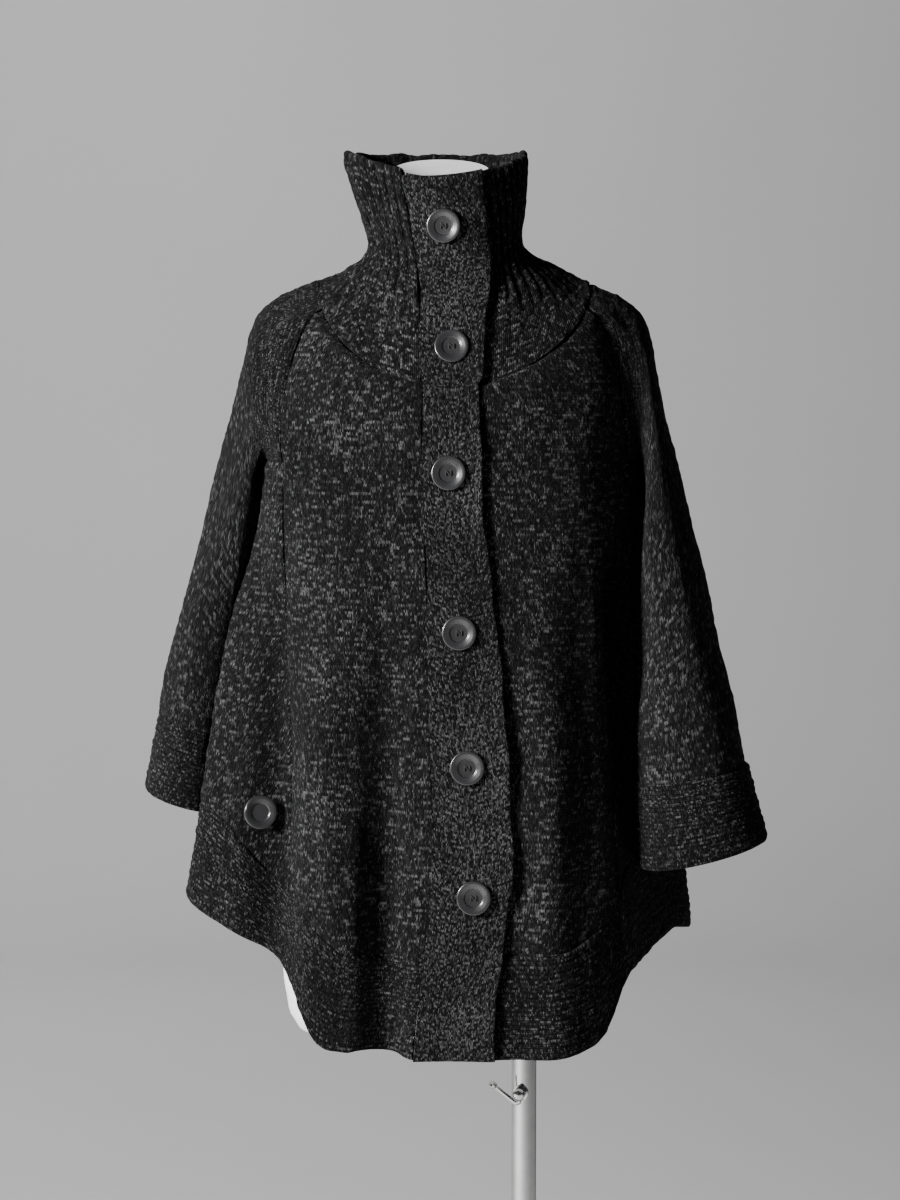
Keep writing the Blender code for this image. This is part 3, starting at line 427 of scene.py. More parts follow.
def collar_shares():
    """Places round the collar as shares of its width, with the same number of cells to each rib."""
    stations = (
        (placket_angles(YOKE_Z)[0], RAGLAN_TOP, FRONT_STRIPS),
        (RAGLAN_TOP, 180 - RAGLAN_TOP, SHOULDER_STRIPS),
        (180 - RAGLAN_TOP, 180 + RAGLAN_TOP, BACK_STRIPS),
        (180 + RAGLAN_TOP, 360 - RAGLAN_TOP, SHOULDER_STRIPS),
        (360 - RAGLAN_TOP, 360 + under_edge_angle(YOKE_Z), FRONT_STRIPS),
    )
    columns = [np.array([stations[0][0]])]
    columns += [np.linspace(first, last, RIB_CELLS * ribs + 1)[1:] for first, last, ribs in stations]
    columns = np.concatenate(columns)
    return (columns - columns[0]) / (columns[-1] - columns[0])


def collar_grid(rows):
    shares = collar_shares()
    even = np.linspace(0, 1, len(shares))
    grid = []
    for place in np.linspace(len(COLLAR_RINGS) - 1, 0, rows + 1):
        ring = collar_place(place)
        mix = smooth_step(place / 1.5)
        first, last = SPANS["front_right"](ring[5])[0], SPANS["front_left"](ring[5])[1]
        grid.append(collar_ring(between(first, last, between(shares, even, mix)), ring))
    return np.array(grid)


def front_band_grid(name, columns):
    """Grid of the placket or of the band under it, from the collar's rim to the hem."""
    shares = np.linspace(0, 1, columns + 1)
    body = np.concatenate((shoulder_grid(name, shares, 22), hanging_grid(name, shares, 150, 0, 1)))
    band = hanging_grid(name, shares, 30, 1, 2)[1:]
    return np.concatenate((collar_strip(name, shares, 60), body, band))


def sleeve_section(side, section, turn):
    """Points round a sleeve through its outer and inner line, from the outer line forward."""
    outer_x, outer_z, inner_x, inner_z, middle_y, half_depth = section
    sign = -1 if side == "right" else 1
    outer = np.array((sign * outer_x, 0.0, outer_z))
    inner = np.array((sign * inner_x, 0.0, inner_z))
    across = np.sign(np.cos(turn)) * np.abs(np.cos(turn)) ** (2 / SLEEVE_SQUARE)
    along = np.sign(np.sin(turn)) * np.abs(np.sin(turn)) ** (2 / SLEEVE_SQUARE)
    points = (outer + inner) / 2 + (outer - inner) / 2 * across[:, None]
    points[:, 1] = middle_y - half_depth * along
    return points


def armhole(side, cells):
    """Closed armhole line of a sleeve: from the shoulder's top forward, round the underarm and up the back."""
    first_under = HALF_SHOULDER_STRIPS + RAGLAN_STRIPS
    total = 2 * first_under + UNDERARM_STRIPS
    strips = np.arange(total * cells) / cells
    from_top = np.minimum(strips, total - strips)
    forward = strips < total / 2
    seams = seam_angles(UNDERARM_Z)
    front, back = (seams[0], seams[1]) if side == "right" else (360 - seams[3], 360 - seams[2])
    down = np.clip((from_top - HALF_SHOULDER_STRIPS) / RAGLAN_STRIPS, 0, 1)
    over = (90 - RAGLAN_TOP) * np.clip(from_top / HALF_SHOULDER_STRIPS, 0, 1)
    yoke_angle = np.where(forward, 90 - over, 90 + over)
    seam_angle = between(yoke_angle, np.where(forward, front, back), down)
    under_angle = between(front, back, np.clip((strips - first_under) / UNDERARM_STRIPS, 0, 1))
    underarm = from_top > first_under
    angle = np.where(underarm, under_angle, seam_angle)
    return shoulder_points(angle if side == "right" else 360 - angle, down, UNDERARM_GAP * underarm)


def sleeve_grid(side, cells, rows):
    """Grid of a sleeve: the armhole, and rings through its sections, with this many rows to each section."""
    loop = armhole(side, cells)
    turn = TAU * np.arange(len(loop)) / len(loop)
    sections = [(n,) + section for n, section in enumerate(SLEEVES[side], start=1)]
    turned = [(0, 0.0, 0.0)] + [(n,) + pair for n, pair in enumerate(zip(TURNED_OVER, TURNED_UNDER), start=1)]
    turned += [(n, 1.0, 1.0) for n in range(len(turned), len(sections) + 1)]
    under = 0.5 - 0.5 * np.cos(turn)
    grid = []
    for place in np.linspace(0, len(sections), rows * len(sections) + 1):
        ring = sleeve_section(side, curve(sections, max(place, 1)), turn)
        over_share, under_share = curve(turned, place)
        blend = between(over_share, under_share, under)[:, None]
        grid.append(loop * (1 - blend) + ring * blend)
    return np.array(grid)


def cuff_grid(side, columns, rows):
    turn = TAU * np.arange(columns) / columns
    start, end = np.array(SLEEVES[side][-1]), np.array(CUFF_EDGES[side])
    shares = np.linspace(0, 1, rows + 1)
    return np.array([sleeve_section(side, between(start, end, share), turn) for share in shares])


def grid_normals(grid, closed, outward):
    """Outward direction at each point of a grid."""
    across = np.roll(grid, -1, 1) - np.roll(grid, 1, 1) if closed else np.gradient(grid, axis=1)
    normals = np.cross(across, np.gradient(grid, axis=0)) * outward
    return normals / np.maximum(np.linalg.norm(normals, axis=-1, keepdims=True), 1e-12)


def arc_lengths(grid, axis):
    """Distance along the cloth from the first point of each row or column."""
    steps = np.linalg.norm(np.diff(grid, axis=axis), axis=-1)
    start = np.zeros_like(np.take(steps, [0], axis=axis))
    return np.cumsum(np.concatenate((start, steps), axis=axis), axis=axis)


def ripple(grid, height, size, seed):
    """Gentle unevenness of hanging cloth, as a sum of seeded waves about this far from crest to crest."""
    random = np.random.default_rng(seed)
    total = np.zeros(grid.shape[:2])
    for _ in range(14):
        way = random.normal(size=3)
        way *= np.array((1.0, 1.0, 0.55)) / np.linalg.norm(way)
        length = size * random.uniform(0.6, 1.5)
        total += np.sin(grid @ way * (TAU / length) + random.uniform(0, TAU))
    return total * height / math.sqrt(7)


# Places round a free edge at which rows or columns are added
EDGE_TURNS = np.radians((30, 60, 90, 120, 150))


def half_round(grids, thickness, edge, axis):
    """Points, places in the knit and normals, with rows or columns added that turn a free edge over."""
    if axis == 1:
        turned = half_round([np.swapaxes(grid, 0, 1) for grid in grids], thickness, edge, 0)
        return [np.swapaxes(grid, 0, 1) for grid in turned]
    points, uv, normals = (grid[edge] for grid in grids)
    inner = -2 if edge == -1 else 1
    out = points - grids[0][inner]
    out -= (out * normals).sum(-1, keepdims=True) * normals
    out /= np.maximum(np.linalg.norm(out, axis=-1, keepdims=True), 1e-12)
    radius = thickness / 2
    rows = [points + radius * (out * math.sin(turn) - normals * (1 - math.cos(turn))) for turn in EDGE_TURNS]
    places = [uv + (uv - grids[1][inner]) * turn * 0.6 for turn in EDGE_TURNS]
    added = (rows, places, [normals] * len(EDGE_TURNS))
    if edge == 0:
        return [np.concatenate((new[::-1], grid)) for new, grid in zip(added, grids)]
    return [np.concatenate((grid, new)) for new, grid in zip(added, grids)]


def pairs(count, joined=False):
    """Each number with the next one, and the last with the first where the ring is joined."""
    return [(n, (n + 1) % count) for n in range(count if joined else count - 1)]


def wall_faces(outer, inner, row_marks, column_marks, closed):
    """Faces of a wall: a fine outer grid of numbered points, a coarser inner one, and their joined edges."""
    rows, columns = outer.shape
    faces = []
    for low, high in pairs(rows):
        for left, right in pairs(columns, closed):
            faces.append((outer[low, left], outer[low, right], outer[high, right], outer[high, left]))
    for low, high in pairs(inner.shape[0]):
        for left, right in pairs(inner.shape[1], closed):
            faces.append((inner[low, left], inner[high, left], inner[high, right], inner[low, right]))
    column_ends = column_marks + [columns] if closed else column_marks
    for edge, inner_edge in ((0, 0), (rows - 1, -1)):
        for n, (a, b) in enumerate(pairs(inner.shape[1], closed)):
            run = [outer[edge, k % columns] for k in range(column_ends[n], column_ends[n + 1] + 1)]
            face = run + [inner[inner_edge, b], inner[inner_edge, a]]
            faces.append(tuple(face[::-1] if edge == 0 else face))
    for edge, inner_edge in () if closed else ((0, 0), (columns - 1, -1)):
        for a, b in pairs(inner.shape[0]):
            run = [outer[k, edge] for k in range(row_marks[a], row_marks[b] + 1)]
            face = run + [inner[b, inner_edge], inner[a, inner_edge]]
            faces.append(tuple(face[::-1] if edge else face))
    return faces


def marks(count, before, step, total):
    """Numbers of the outer rows or columns that the inner grid keeps, without a free edge's turned part."""
    kept = list(range(before, before + count, step))
    if kept[-1] != before + count - 1:
        kept.append(before + count - 1)
    kept[0] = 0
    kept[-1] = total - 1
    return kept


class Cloth:
    """A piece of cloth as a thin shell: a fine outer face and a plainer inner one, joined at the edges."""

    def __init__(self, name, grid, thickness, closed=False, outward=1):
        self.name = name
        self.thickness = thickness
        self.closed = closed
        self.normals = grid_normals(grid, closed, outward)
        self.grid = grid
        self.outward = outward
        self.relief = np.zeros(grid.shape[:2])
        across = arc_lengths(np.concatenate((grid, grid[:, :1]), 1) if closed else grid, 1)
        self.across = across[:, :-1] if closed else across
        self.width = across[:, -1]
        self.down = arc_lengths(grid, 0)
        if closed:
            ring = np.arange(grid.shape[1]) / grid.shape[1] * self.width.mean()
            line = np.linspace(0, 1, grid.shape[0])[:, None] * self.down[-1].mean()
            self.uv = np.stack(np.broadcast_arrays(ring, line), axis=-1)
        else:
            middle = self.across[:, self.across.shape[1] // 2][:, None]
            self.uv = np.stack((self.across - middle, self.down), axis=-1)
        self.free = ()
        self.inward = np.full(grid.shape[:2], thickness)

    def lift(self, height):
        self.grid = self.grid + self.normals * np.broadcast_to(height, self.grid.shape[:2])[..., None]

    def seam_groove(self, sides, depth, width):
        """Draw the cloth in along the seams it is sewn at."""
        gaps = {
            "first": self.across,
            "last": self.width[:, None] - self.across,
            "top": self.down,
            "bottom": self.down[-1] - self.down,
        }
        for side in sides:
            self.relief -= depth * np.exp(-(gaps[side] / width) ** 2)

    def add_folds(self, folds):
        """Lay soft creases on the piece."""
        share = self.across / self.width[:, None]
        down = np.linspace(0, 1, self.grid.shape[0])[:, None]
        for across, middle, half_width, half_length, lean, depth in folds:
            apart = share - across - lean * (down - middle)
            if self.closed:
                apart = (apart + 0.5) % 1 - 0.5
            along = (down - middle) / half_length
            self.relief += depth * np.exp(-(apart / half_width) ** 2) * np.exp(-along ** 2)

    def shift_knit(self, seed, down=0.377):
        """Give the piece a place of its own in the knit's pattern."""
        self.uv += (seed * 0.731, seed * down)

    def build(self, material, step=3):
        uneven = ripple(self.grid, 0.00035, 0.011, 77)
        uneven += np.random.default_rng(len(self.name)).normal(0, 0.00012, uneven.shape)
        grids = [self.grid + self.normals * (self.relief + uneven)[..., None], self.uv, self.normals]
        before = [0, 0]
        for edge, axis in self.free:
            grids = half_round(grids, self.inward.max() if axis == 0 else self.thickness, edge, axis)
            before[axis] += len(EDGE_TURNS) if edge == 0 else 0
        outer, uv = grids[:2]
        rows, columns = self.grid.shape[:2]
        row_marks = marks(rows, before[0], step, outer.shape[0])
        column_marks = marks(columns, before[1], step, outer.shape[1])
        if self.closed:
            column_marks = list(range(0, columns, step))
        kept_rows = np.clip(np.array(row_marks) - before[0], 0, rows - 1)
        kept_columns = np.clip(np.array(column_marks) - before[1], 0, columns - 1)
        kept = np.ix_(kept_rows, kept_columns)
        inner = (self.grid - self.normals * self.inward[..., None])[kept]
        outer_ids = np.arange(outer[..., 0].size).reshape(outer.shape[:2])
        inner_ids = outer_ids.size + np.arange(inner[..., 0].size).reshape(inner.shape[:2])
        faces = wall_faces(outer_ids, inner_ids, row_marks, column_marks, self.closed)
        if self.outward < 0:
            faces = [face[::-1] for face in faces]
        points = np.concatenate((outer.reshape(-1, 3), inner.reshape(-1, 3))) + (FORM_AXIS_X, 0.0, 0.0)
        places = np.concatenate((uv.reshape(-1, 2), self.uv[kept].reshape(-1, 2)))
        piece = add_mesh(self.name + "_cloth", points, faces, material, places)
        place_piece(piece, "form", self.name)


def place_piece(piece, body, node=None):
    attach(piece, body)
    if node:
        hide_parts(node)


def add_mesh(name, points, faces, material, places=None, sharp=60):
    """Object from points and faces, with the places of its points in the knit as its map."""
    data = bpy.data.meshes.new(name)
    data.from_pydata(np.asarray(points).tolist(), [], [tuple(int(n) for n in face) for face in faces])
    if places is not None:
        layer = data.uv_layers.new(name="knit")
        corners = np.empty(len(data.loops), dtype=np.int32)
        data.loops.foreach_get("vertex_index", corners)
        layer.data.foreach_set("uv", np.asarray(places)[corners].astype(np.float32).ravel())
    data.shade_smooth()
    data.set_sharp_from_angle(angle=math.radians(sharp))
    data.materials.append(material)
    piece = bpy.data.objects.new(name, data)
    bpy.context.scene.collection.objects.link(piece)
    return piece


class Graph:
    """A material and the nodes that colour it."""

    def __init__(self, name, roughness=0.5, metallic=0.0, **fixed):
        self.material = bpy.data.materials.new(name)
        self.material.use_nodes = True
        self.tree = self.material.node_tree
        self.shader = self.tree.nodes["Principled BSDF"]
        self.shader.inputs["Roughness"].default_value = roughness
        self.shader.inputs["Metallic"].default_value = metallic
        for socket, value in fixed.items():
            self.shader.inputs[socket.replace("_", " ")].default_value = value

    def node(self, kind, inputs, **settings):
        made = self.tree.nodes.new("ShaderNode" + kind)
        for key, value in settings.items():
            setattr(made, key, value)
        for key, value in inputs.items():
            if isinstance(value, bpy.types.NodeSocket):
                self.tree.links.new(value, made.inputs[key])
            else:
                made.inputs[key].default_value = value
        return made

    def math(self, operation, *values):
        return self.node("Math", dict(enumerate(values)), operation=operation).outputs[0]

    def times(self, first, second):
        return self.math("MULTIPLY", first, second)

    def minus(self, first, second):
        return self.math("SUBTRACT", first, second)

    def vector(self, x, y, z=0.0):
        return self.node("CombineXYZ", {"X": x, "Y": y, "Z": z}).outputs[0]

    def noise(self, place, scale, detail=2.0, roughness=0.5):
        inputs = {"Vector": place, "Scale": scale, "Detail": detail, "Roughness": roughness}
        return self.node("TexNoise", inputs).outputs["Fac"]

    def ramp(self, value, low, high, to_low=0.0, to_high=1.0):
        inputs = {"Value": value, "From Min": low, "From Max": high, "To Min": to_low, "To Max": to_high}
        return self.node("MapRange", inputs, interpolation_type="SMOOTHSTEP").outputs[0]

    def mix(self, share, first, second):
        made = self.node("Mix", {"Factor": share}, data_type="RGBA")
        for socket, value in ((made.inputs[6], first), (made.inputs[7], second)):
            if isinstance(value, bpy.types.NodeSocket):
                self.tree.links.new(value, socket)
            else:
                socket.default_value = (*value, 1.0)
        return made.outputs[2]

    def shade(self, color, share):
        """A colour made darker where share is under 1."""
        inputs = {0: color, 1: self.vector(share, share, share)}
        return self.node("VectorMath", inputs, operation="MULTIPLY").outputs[0]

    def bump(self, height, distance, strength=1.0, below=None):
        inputs = {"Height": height, "Distance": distance, "Strength": strength}
        if below is not None:
            inputs["Normal"] = below
        return self.node("Bump", inputs).outputs[0]

    def connect(self, socket, value):
        self.tree.links.new(value, self.shader.inputs[socket])


WOOL_DARK = (0.0024, 0.0024, 0.0026)
WOOL_GREY = (0.0120, 0.0120, 0.0124)
WOOL_LIGHT = (0.078, 0.078, 0.080)


def stitches(graph, u, v, stitch, slant):
    """Height of the knit's loops, and the numbers of the loop's leg and row at each place."""
    column = graph.math("DIVIDE", u, stitch[0])
    across = graph.math("ABSOLUTE", graph.minus(graph.math("FRACT", column), 0.5))
    row = graph.minus(graph.math("DIVIDE", v, stitch[1]), graph.times(across, slant))
    leg = graph.math("SINE", graph.times(across, TAU))
    turn = graph.math("COSINE", graph.times(graph.math("FRACT", row), TAU))
    loop = graph.math("MULTIPLY_ADD", turn, -0.3, 0.7)
    height = graph.times(graph.math("POWER", graph.math("MAXIMUM", leg, 0.001), 0.7), loop)
    return height, graph.math("FLOOR", graph.times(column, 2.0)), graph.math("FLOOR", row)


def light_yarn(graph, u, v, runs, soft, chances, cover, seed):
    """How much of the light yarn shows at each place."""
    patches = graph.noise(graph.vector(graph.times(u, 0.7), v, seed + 3.0), 15.0, 2.0)
    total = graph.math("MULTIPLY_ADD", runs, 1.5, -0.25)
    for part, share in ((patches, 0.28), (chances[0], 0.30), (soft, 0.36)):
        total = graph.math("MULTIPLY_ADD", graph.minus(part, 0.5), share, total)
    light = graph.ramp(total, 1.0 - cover - 0.02, 1.0 - cover + 0.34)
    return graph.times(light, graph.ramp(chances[1], 0.0, 1.0, 0.35, 1.35))


def rib_groove_shade(graph, u, v, rib, level, groove_shade, fade):
    """Painted shade: how much darker the knit is in the groove between two ribs or ridges."""
    line = graph.minus(graph.math("FRACT", graph.math("DIVIDE", (u, v)[level], rib)), 0.5)
    line = graph.ramp(graph.math("ABSOLUTE", line), 0.27, 0.45, 0.0, 1.0 - groove_shade)
    if fade:
        line = graph.times(line, graph.ramp(v, fade[0], fade[1], 1.0, 0.15))
    return line


def knit_material(
    name, stitch, slant, run, cover, depth, seed=0.0, rib=0.0, level=0, groove_shade=0.3, fade=None,
):
    """Marled wool knit, with painted shade in the hollows between its loops. The map's places are in metres
    across and down the knit.

    stitch is a loop's width and height, slant how far its legs lean, run the length and height of a run of
    light yarn, cover how much of the knit the runs take up, depth how deep the loops are, and rib the width of a
    rib or ridge with a line of painted shade in the groove beside it, across the knit or, where level is 1, down
    it. The argument after level is how dark that painted shade gets, and fade the stretch down the knit over
    which it goes out.
    """
    graph = Graph(name, 0.95, Specular_IOR_Level=0.06, Sheen_Weight=0.012, Sheen_Roughness=0.5)
    place = graph.node("UVMap", {}, uv_map="knit").outputs[0]
    split = graph.node("SeparateXYZ", {0: place})
    wander = graph.node("TexNoise", {"Vector": place, "Scale": 75.0, "Detail": 2.0}).outputs[1]
    drift = graph.node("SeparateXYZ", {0: wander})
    u = graph.math("MULTIPLY_ADD", drift.outputs[0], 0.0014, split.outputs[0])
    v = graph.math("MULTIPLY_ADD", drift.outputs[1], 0.0018, split.outputs[1])
    height, leg, row = stitches(graph, u, v, stitch, slant)
    chance = graph.node("TexWhiteNoise", {"Vector": graph.vector(leg, row, seed)}, noise_dimensions="3D")
    chances = chance.outputs["Value"], graph.node("SeparateXYZ", {0: chance.outputs["Color"]}).outputs[1]
    across_run, down_run = graph.times(leg, stitch[0] / 2 / run[0]), graph.times(row, stitch[1] / run[1])
    runs = graph.noise(graph.vector(across_run, down_run, seed), 1.0, 2.0, 0.65)
    soft = graph.noise(graph.vector(u, graph.times(v, 0.6), seed + 7.0), 420.0, 2.0, 0.6)
    light = light_yarn(graph, u, v, runs, soft, chances, cover, seed)
    strands = graph.noise(graph.vector(u, graph.times(v, 0.35), seed), 1500.0, 3.0, 0.7)
    grey = graph.math("MULTIPLY_ADD", strands, 0.6, graph.times(chances[0], 0.4))
    base = graph.mix(graph.ramp(grey, 0.3, 0.75), WOOL_DARK, WOOL_GREY)
    # Painted shade: the colour is darker in the hollows between the loops' legs and rows, where the loops are
    # low
    painted_hollow_shade = graph.ramp(height, 0.05, 0.75, 0.34, 1.08)
    # Painted shade along the grooves between the ribs or ridges
    if rib:
        painted_hollow_shade = graph.times(painted_hollow_shade, graph.minus(1.0, rib_groove_shade(graph, u, v, rib, level, groove_shade, fade)))
    # The painted shade of the hollows, times the fibres' own random tone
    shade = graph.times(painted_hollow_shade, graph.ramp(strands, 0.25, 0.75, 0.62, 1.38))
    slow = graph.ramp(graph.noise(place, 9.0, 3.0), 0.3, 0.7, 0.74, 1.16)
    graph.connect("Base Color", graph.shade(graph.mix(light, base, WOOL_LIGHT), graph.times(shade, slow)))
    lumps = graph.bump(soft, 0.0010, 0.6, graph.bump(strands, 0.0004, 0.8))
    graph.connect("Normal", graph.bump(height, depth, 0.9, lumps))
    return graph.material


PANEL_KNIT = knit_material("wool_stockinette", (0.0025, 0.0027), 1.0, (0.0105, 0.0042), 0.485, 0.0007)
COLLAR_KNIT = knit_material(
    "wool_rib", (0.0024, 0.0027), 1.0, (0.0060, 0.0042), 0.485, 0.0007,
    seed=5.0, rib=RIB_PITCH, fade=(0.10, 0.19))
RIDGE_KNIT = knit_material(
    "wool_ridges", (0.0025, 0.0023), 0.5, (0.0060, 0.0035), 0.49, 0.0007,
    seed=9.0, rib=RIDGE_PITCH / 2, level=1, groove_shade=0.42)
PLACKET_KNIT = knit_material("wool_placket", (0.0022, 0.0022), 0.9, (0.0034, 0.0028), 0.55, 0.0006, seed=13.0)


def plain_material(name, color, roughness, grain, depth, metallic=0.0, **fixed):
    """Smooth hard surface with a little unevenness in its colour, gloss and form."""
    graph = Graph(name, roughness, metallic, **fixed)
    place = graph.node("TexCoord", {}).outputs["Object"]
    cloud = graph.noise(place, grain, 4.0, 0.6)
    fine = graph.noise(place, grain * 14, 3.0, 0.6)
    shade = graph.times(graph.ramp(cloud, 0.3, 0.7, 0.93, 1.05), graph.ramp(fine, 0.3, 0.7, 0.97, 1.03))
    tone = graph.node("RGB", {})
    tone.outputs[0].default_value = (*color, 1.0)
    graph.connect("Base Color", graph.shade(tone.outputs[0], shade))
    graph.connect("Roughness", graph.ramp(fine, 0.3, 0.7, roughness * 0.85, roughness * 1.2))
    graph.connect("Normal", graph.bump(fine, depth, 0.5))
    return graph.material


def lathe(name, profile, sides, material, body, node=None, place=None, sharp=35):
    """Piece turned about Z from (radius, height) points, from one end to the other."""
    turns = TAU * np.arange(sides) / sides
    points, rings = [], []
    for radius, z in profile:
        if radius == 0:
            rings.append([len(points)] * sides)
            points.append((0.0, 0.0, z))
            continue
        rings.append(list(range(len(points), len(points) + sides)))
        points += [(radius * math.cos(turn), radius * math.sin(turn), z) for turn in turns]
    faces = []
    for low, high in zip(rings, rings[1:]):
        for n, after in pairs(sides, True):
            faces.append(tuple(dict.fromkeys((low[n], low[after], high[after], high[n]))))
    for ring in (rings[0], rings[-1]):
        if len(set(ring)) > 1:
            faces.append(tuple(ring if ring is rings[-1] else ring[::-1]))
    points = np.array(points)
    if place is not None:
        points = points @ np.array(place.to_3x3()).T + np.array(place.translation)
    piece = add_mesh(name, points, faces, material, sharp=sharp)
    turn_outward(piece.data)
    place_piece(piece, body, node)


def turn_outward(data):
    mesh = bmesh.new()
    mesh.from_mesh(data)
    bmesh.ops.recalc_face_normals(mesh, faces=mesh.faces)
    mesh.to_mesh(data)
    mesh.free()


def rounded(profile, radius, steps=4):
    """The profile with its corners rounded off."""
    rounded_profile = [profile[0]]
    for before, corner, after in zip(profile, profile[1:], profile[2:]):
        corner = np.array(corner)
        to_before, to_after = np.array(before) - corner, np.array(after) - corner
        reach = min(radius, np.linalg.norm(to_before) / 2, np.linalg.norm(to_after) / 2)
        start = corner + to_before / np.linalg.norm(to_before) * reach
        end = corner + to_after / np.linalg.norm(to_after) * reach
        for share in np.linspace(0, 1, steps + 1):
            point = start * (1 - share) ** 2 + corner * 2 * share * (1 - share) + end * share ** 2
            rounded_profile.append(tuple(point))
    return rounded_profile + [profile[-1]]


def node_place(name):
    """Where a turned node stands: its axis, pointing forward, and the middle of its hind end along it."""
    corners = np.array([v.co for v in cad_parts[name].data.vertices])
    corners = np.unique(np.round(corners, 6), axis=0)
    middle = corners.mean(0)
    axis = np.linalg.svd(corners - middle, full_matrices=False)[2][2]
    if axis[1] > 0:
        axis = -axis
    seat = middle + axis * ((corners - middle) @ axis).min()
    return Matrix.Translation(Vector(seat)) @ Vector(axis).to_track_quat("Z", "Y").to_matrix().to_4x4()


def ring_faces(rows, count):
    """Faces between closed rings of points, and one over each end."""
    faces = []
    for low, high in pairs(rows):
        for n, after in pairs(count, True):
            faces.append((low * count + n, low * count + after, high * count + after, high * count + n))
    return faces + [tuple(range(count))[::-1], tuple(range((rows - 1) * count, rows * count))]


def swept(name, path, radius, sides, material, body):
    """Round bar along a path of points."""
    points = []
    side_way = (path[1] - path[0]).normalized().orthogonal().normalized()
    for before, point, after in zip(path[:1] + path, path, path[1:] + path[-1:]):
        along = (after - before).normalized()
        side_way = (side_way - along * side_way.dot(along)).normalized()
        other = along.cross(side_way)
        for side in range(sides):
            turn = TAU * side / sides
            points.append(point + (side_way * math.cos(turn) + other * math.sin(turn)) * radius)
    piece = add_mesh(name, np.array(points), ring_faces(len(path), sides), material)
    turn_outward(piece.data)
    place_piece(piece, body)


def seamed_shares(columns, width):
    """Places across a piece, closer together beside its seams."""
    near = np.array((0.0008, 0.0018, 0.0030, 0.0045, 0.0065)) / width
    inner = np.linspace(0.0085 / width, 1 - 0.0085 / width, columns)
    return np.concatenate(((0,), near, inner, 1 - near[::-1], (1,)))


def lap_lift(grid):
    """How far the wearer's right front is raised to meet the placket that lies over the other front."""
    angle = np.degrees(np.arctan2(-grid[..., 0], -grid[..., 1])) % 360
    return LAP * (1 - smooth_step(np.abs(angle - angle[:, :1]) / LAP_RUN))


# Creases: place across and down as shares, half-width, half-length, lean and depth
PANEL_FOLDS = {
    "front_right": (
        (0.22, 0.95, 0.17, 0.34, 0.00, -0.0100), (0.58, 0.86, 0.10, 0.24, -0.03, 0.0030),
        (0.62, 0.70, 0.10, 0.24, 0.03, 0.0026),
        (0.82, 0.72, 0.08, 0.22, 0.04, -0.0018), (0.48, 0.34, 0.14, 0.10, 0.20, 0.0014),
        (0.80, 0.22, 0.12, 0.10, 0.60, -0.0020),
    ),
    "front_left": (
        (0.88, 0.80, 0.08, 0.24, 0.00, -0.0032), (0.66, 0.84, 0.09, 0.20, 0.03, 0.0030),
        (0.34, 0.68, 0.10, 0.26, -0.03, -0.0030),
        (0.16, 0.74, 0.08, 0.22, -0.04, 0.0022), (0.52, 0.34, 0.14, 0.10, -0.20, 0.0014),
        (0.20, 0.22, 0.12, 0.10, -0.60, -0.0020),
    ),
    "back": (
        (0.12, 0.76, 0.05, 0.24, 0.02, -0.0026), (0.27, 0.82, 0.05, 0.22, -0.02, 0.0024),
        (0.42, 0.72, 0.05, 0.26, 0.01, -0.0022),
        (0.60, 0.80, 0.05, 0.22, 0.02, 0.0024), (0.76, 0.74, 0.05, 0.26, -0.02, -0.0026),
        (0.90, 0.80, 0.05, 0.20, 0.03, 0.0020),
        (0.30, 0.24, 0.10, 0.08, 0.30, 0.0014), (0.70, 0.24, 0.10, 0.08, -0.30, 0.0014),
    ),
    "side_right": (
        (0.16, 0.62, 0.07, 0.28, -0.05, -0.0024), (0.42, 0.58, 0.08, 0.30, -0.08, 0.0024),
        (0.68, 0.66, 0.08, 0.26, 0.04, -0.0026),
        (0.86, 0.60, 0.06, 0.26, 0.04, 0.0018),
    ),
    "side_left": (
        (0.55, 0.14, 0.30, 0.07, 0.00, 0.0036),
        (0.14, 0.60, 0.06, 0.26, -0.04, 0.0018), (0.32, 0.66, 0.08, 0.26, -0.04, -0.0026),
        (0.60, 0.60, 0.08, 0.30, 0.06, 0.0022),
        (0.84, 0.62, 0.07, 0.28, 0.05, -0.0024),
    ),
}
SLEEVE_FOLDS = (
    (0.02, 0.55, 0.05, 0.28, 0.06, 0.0022), (0.16, 0.62, 0.05, 0.26, -0.08, -0.0030),
    (0.30, 0.52, 0.05, 0.30, 0.05, 0.0026),
    (0.44, 0.44, 0.04, 0.22, 0.10, -0.0028), (0.58, 0.52, 0.05, 0.26, -0.08, 0.0022),
    (0.72, 0.58, 0.05, 0.28, 0.06, -0.0026),
    (0.86, 0.50, 0.05, 0.28, -0.05, 0.0022), (0.10, 0.16, 0.05, 0.08, 0.80, -0.0018),
    (0.88, 0.18, 0.05, 0.08, -0.80, -0.0018),
)


# Rows of the fronts and the back above the underarm's level
SHOULDER_ROWS = 34
# Depth and width of the groove at a seam
SEAM = (0.0024, 0.0022)
BAND_SEAM = (0.0014, 0.0028)
SOFT_SEAM = (0.0012, 0.0028)


def make_panel(name, grid, seed, underarm_row, grooves):
    piece = Cloth(name, grid, PANEL)
    if name == "front_right":
        piece.lift(lap_lift(grid))
    piece.relief += ripple(grid, 0.0009, 0.075, seed)
    piece.add_folds(PANEL_FOLDS[name])
    for sides, size in grooves:
        piece.seam_groove(sides, *size)
    piece.uv[..., 1] = piece.down - piece.down[underarm_row]
    piece.shift_knit(seed)
    piece.build(PANEL_KNIT)


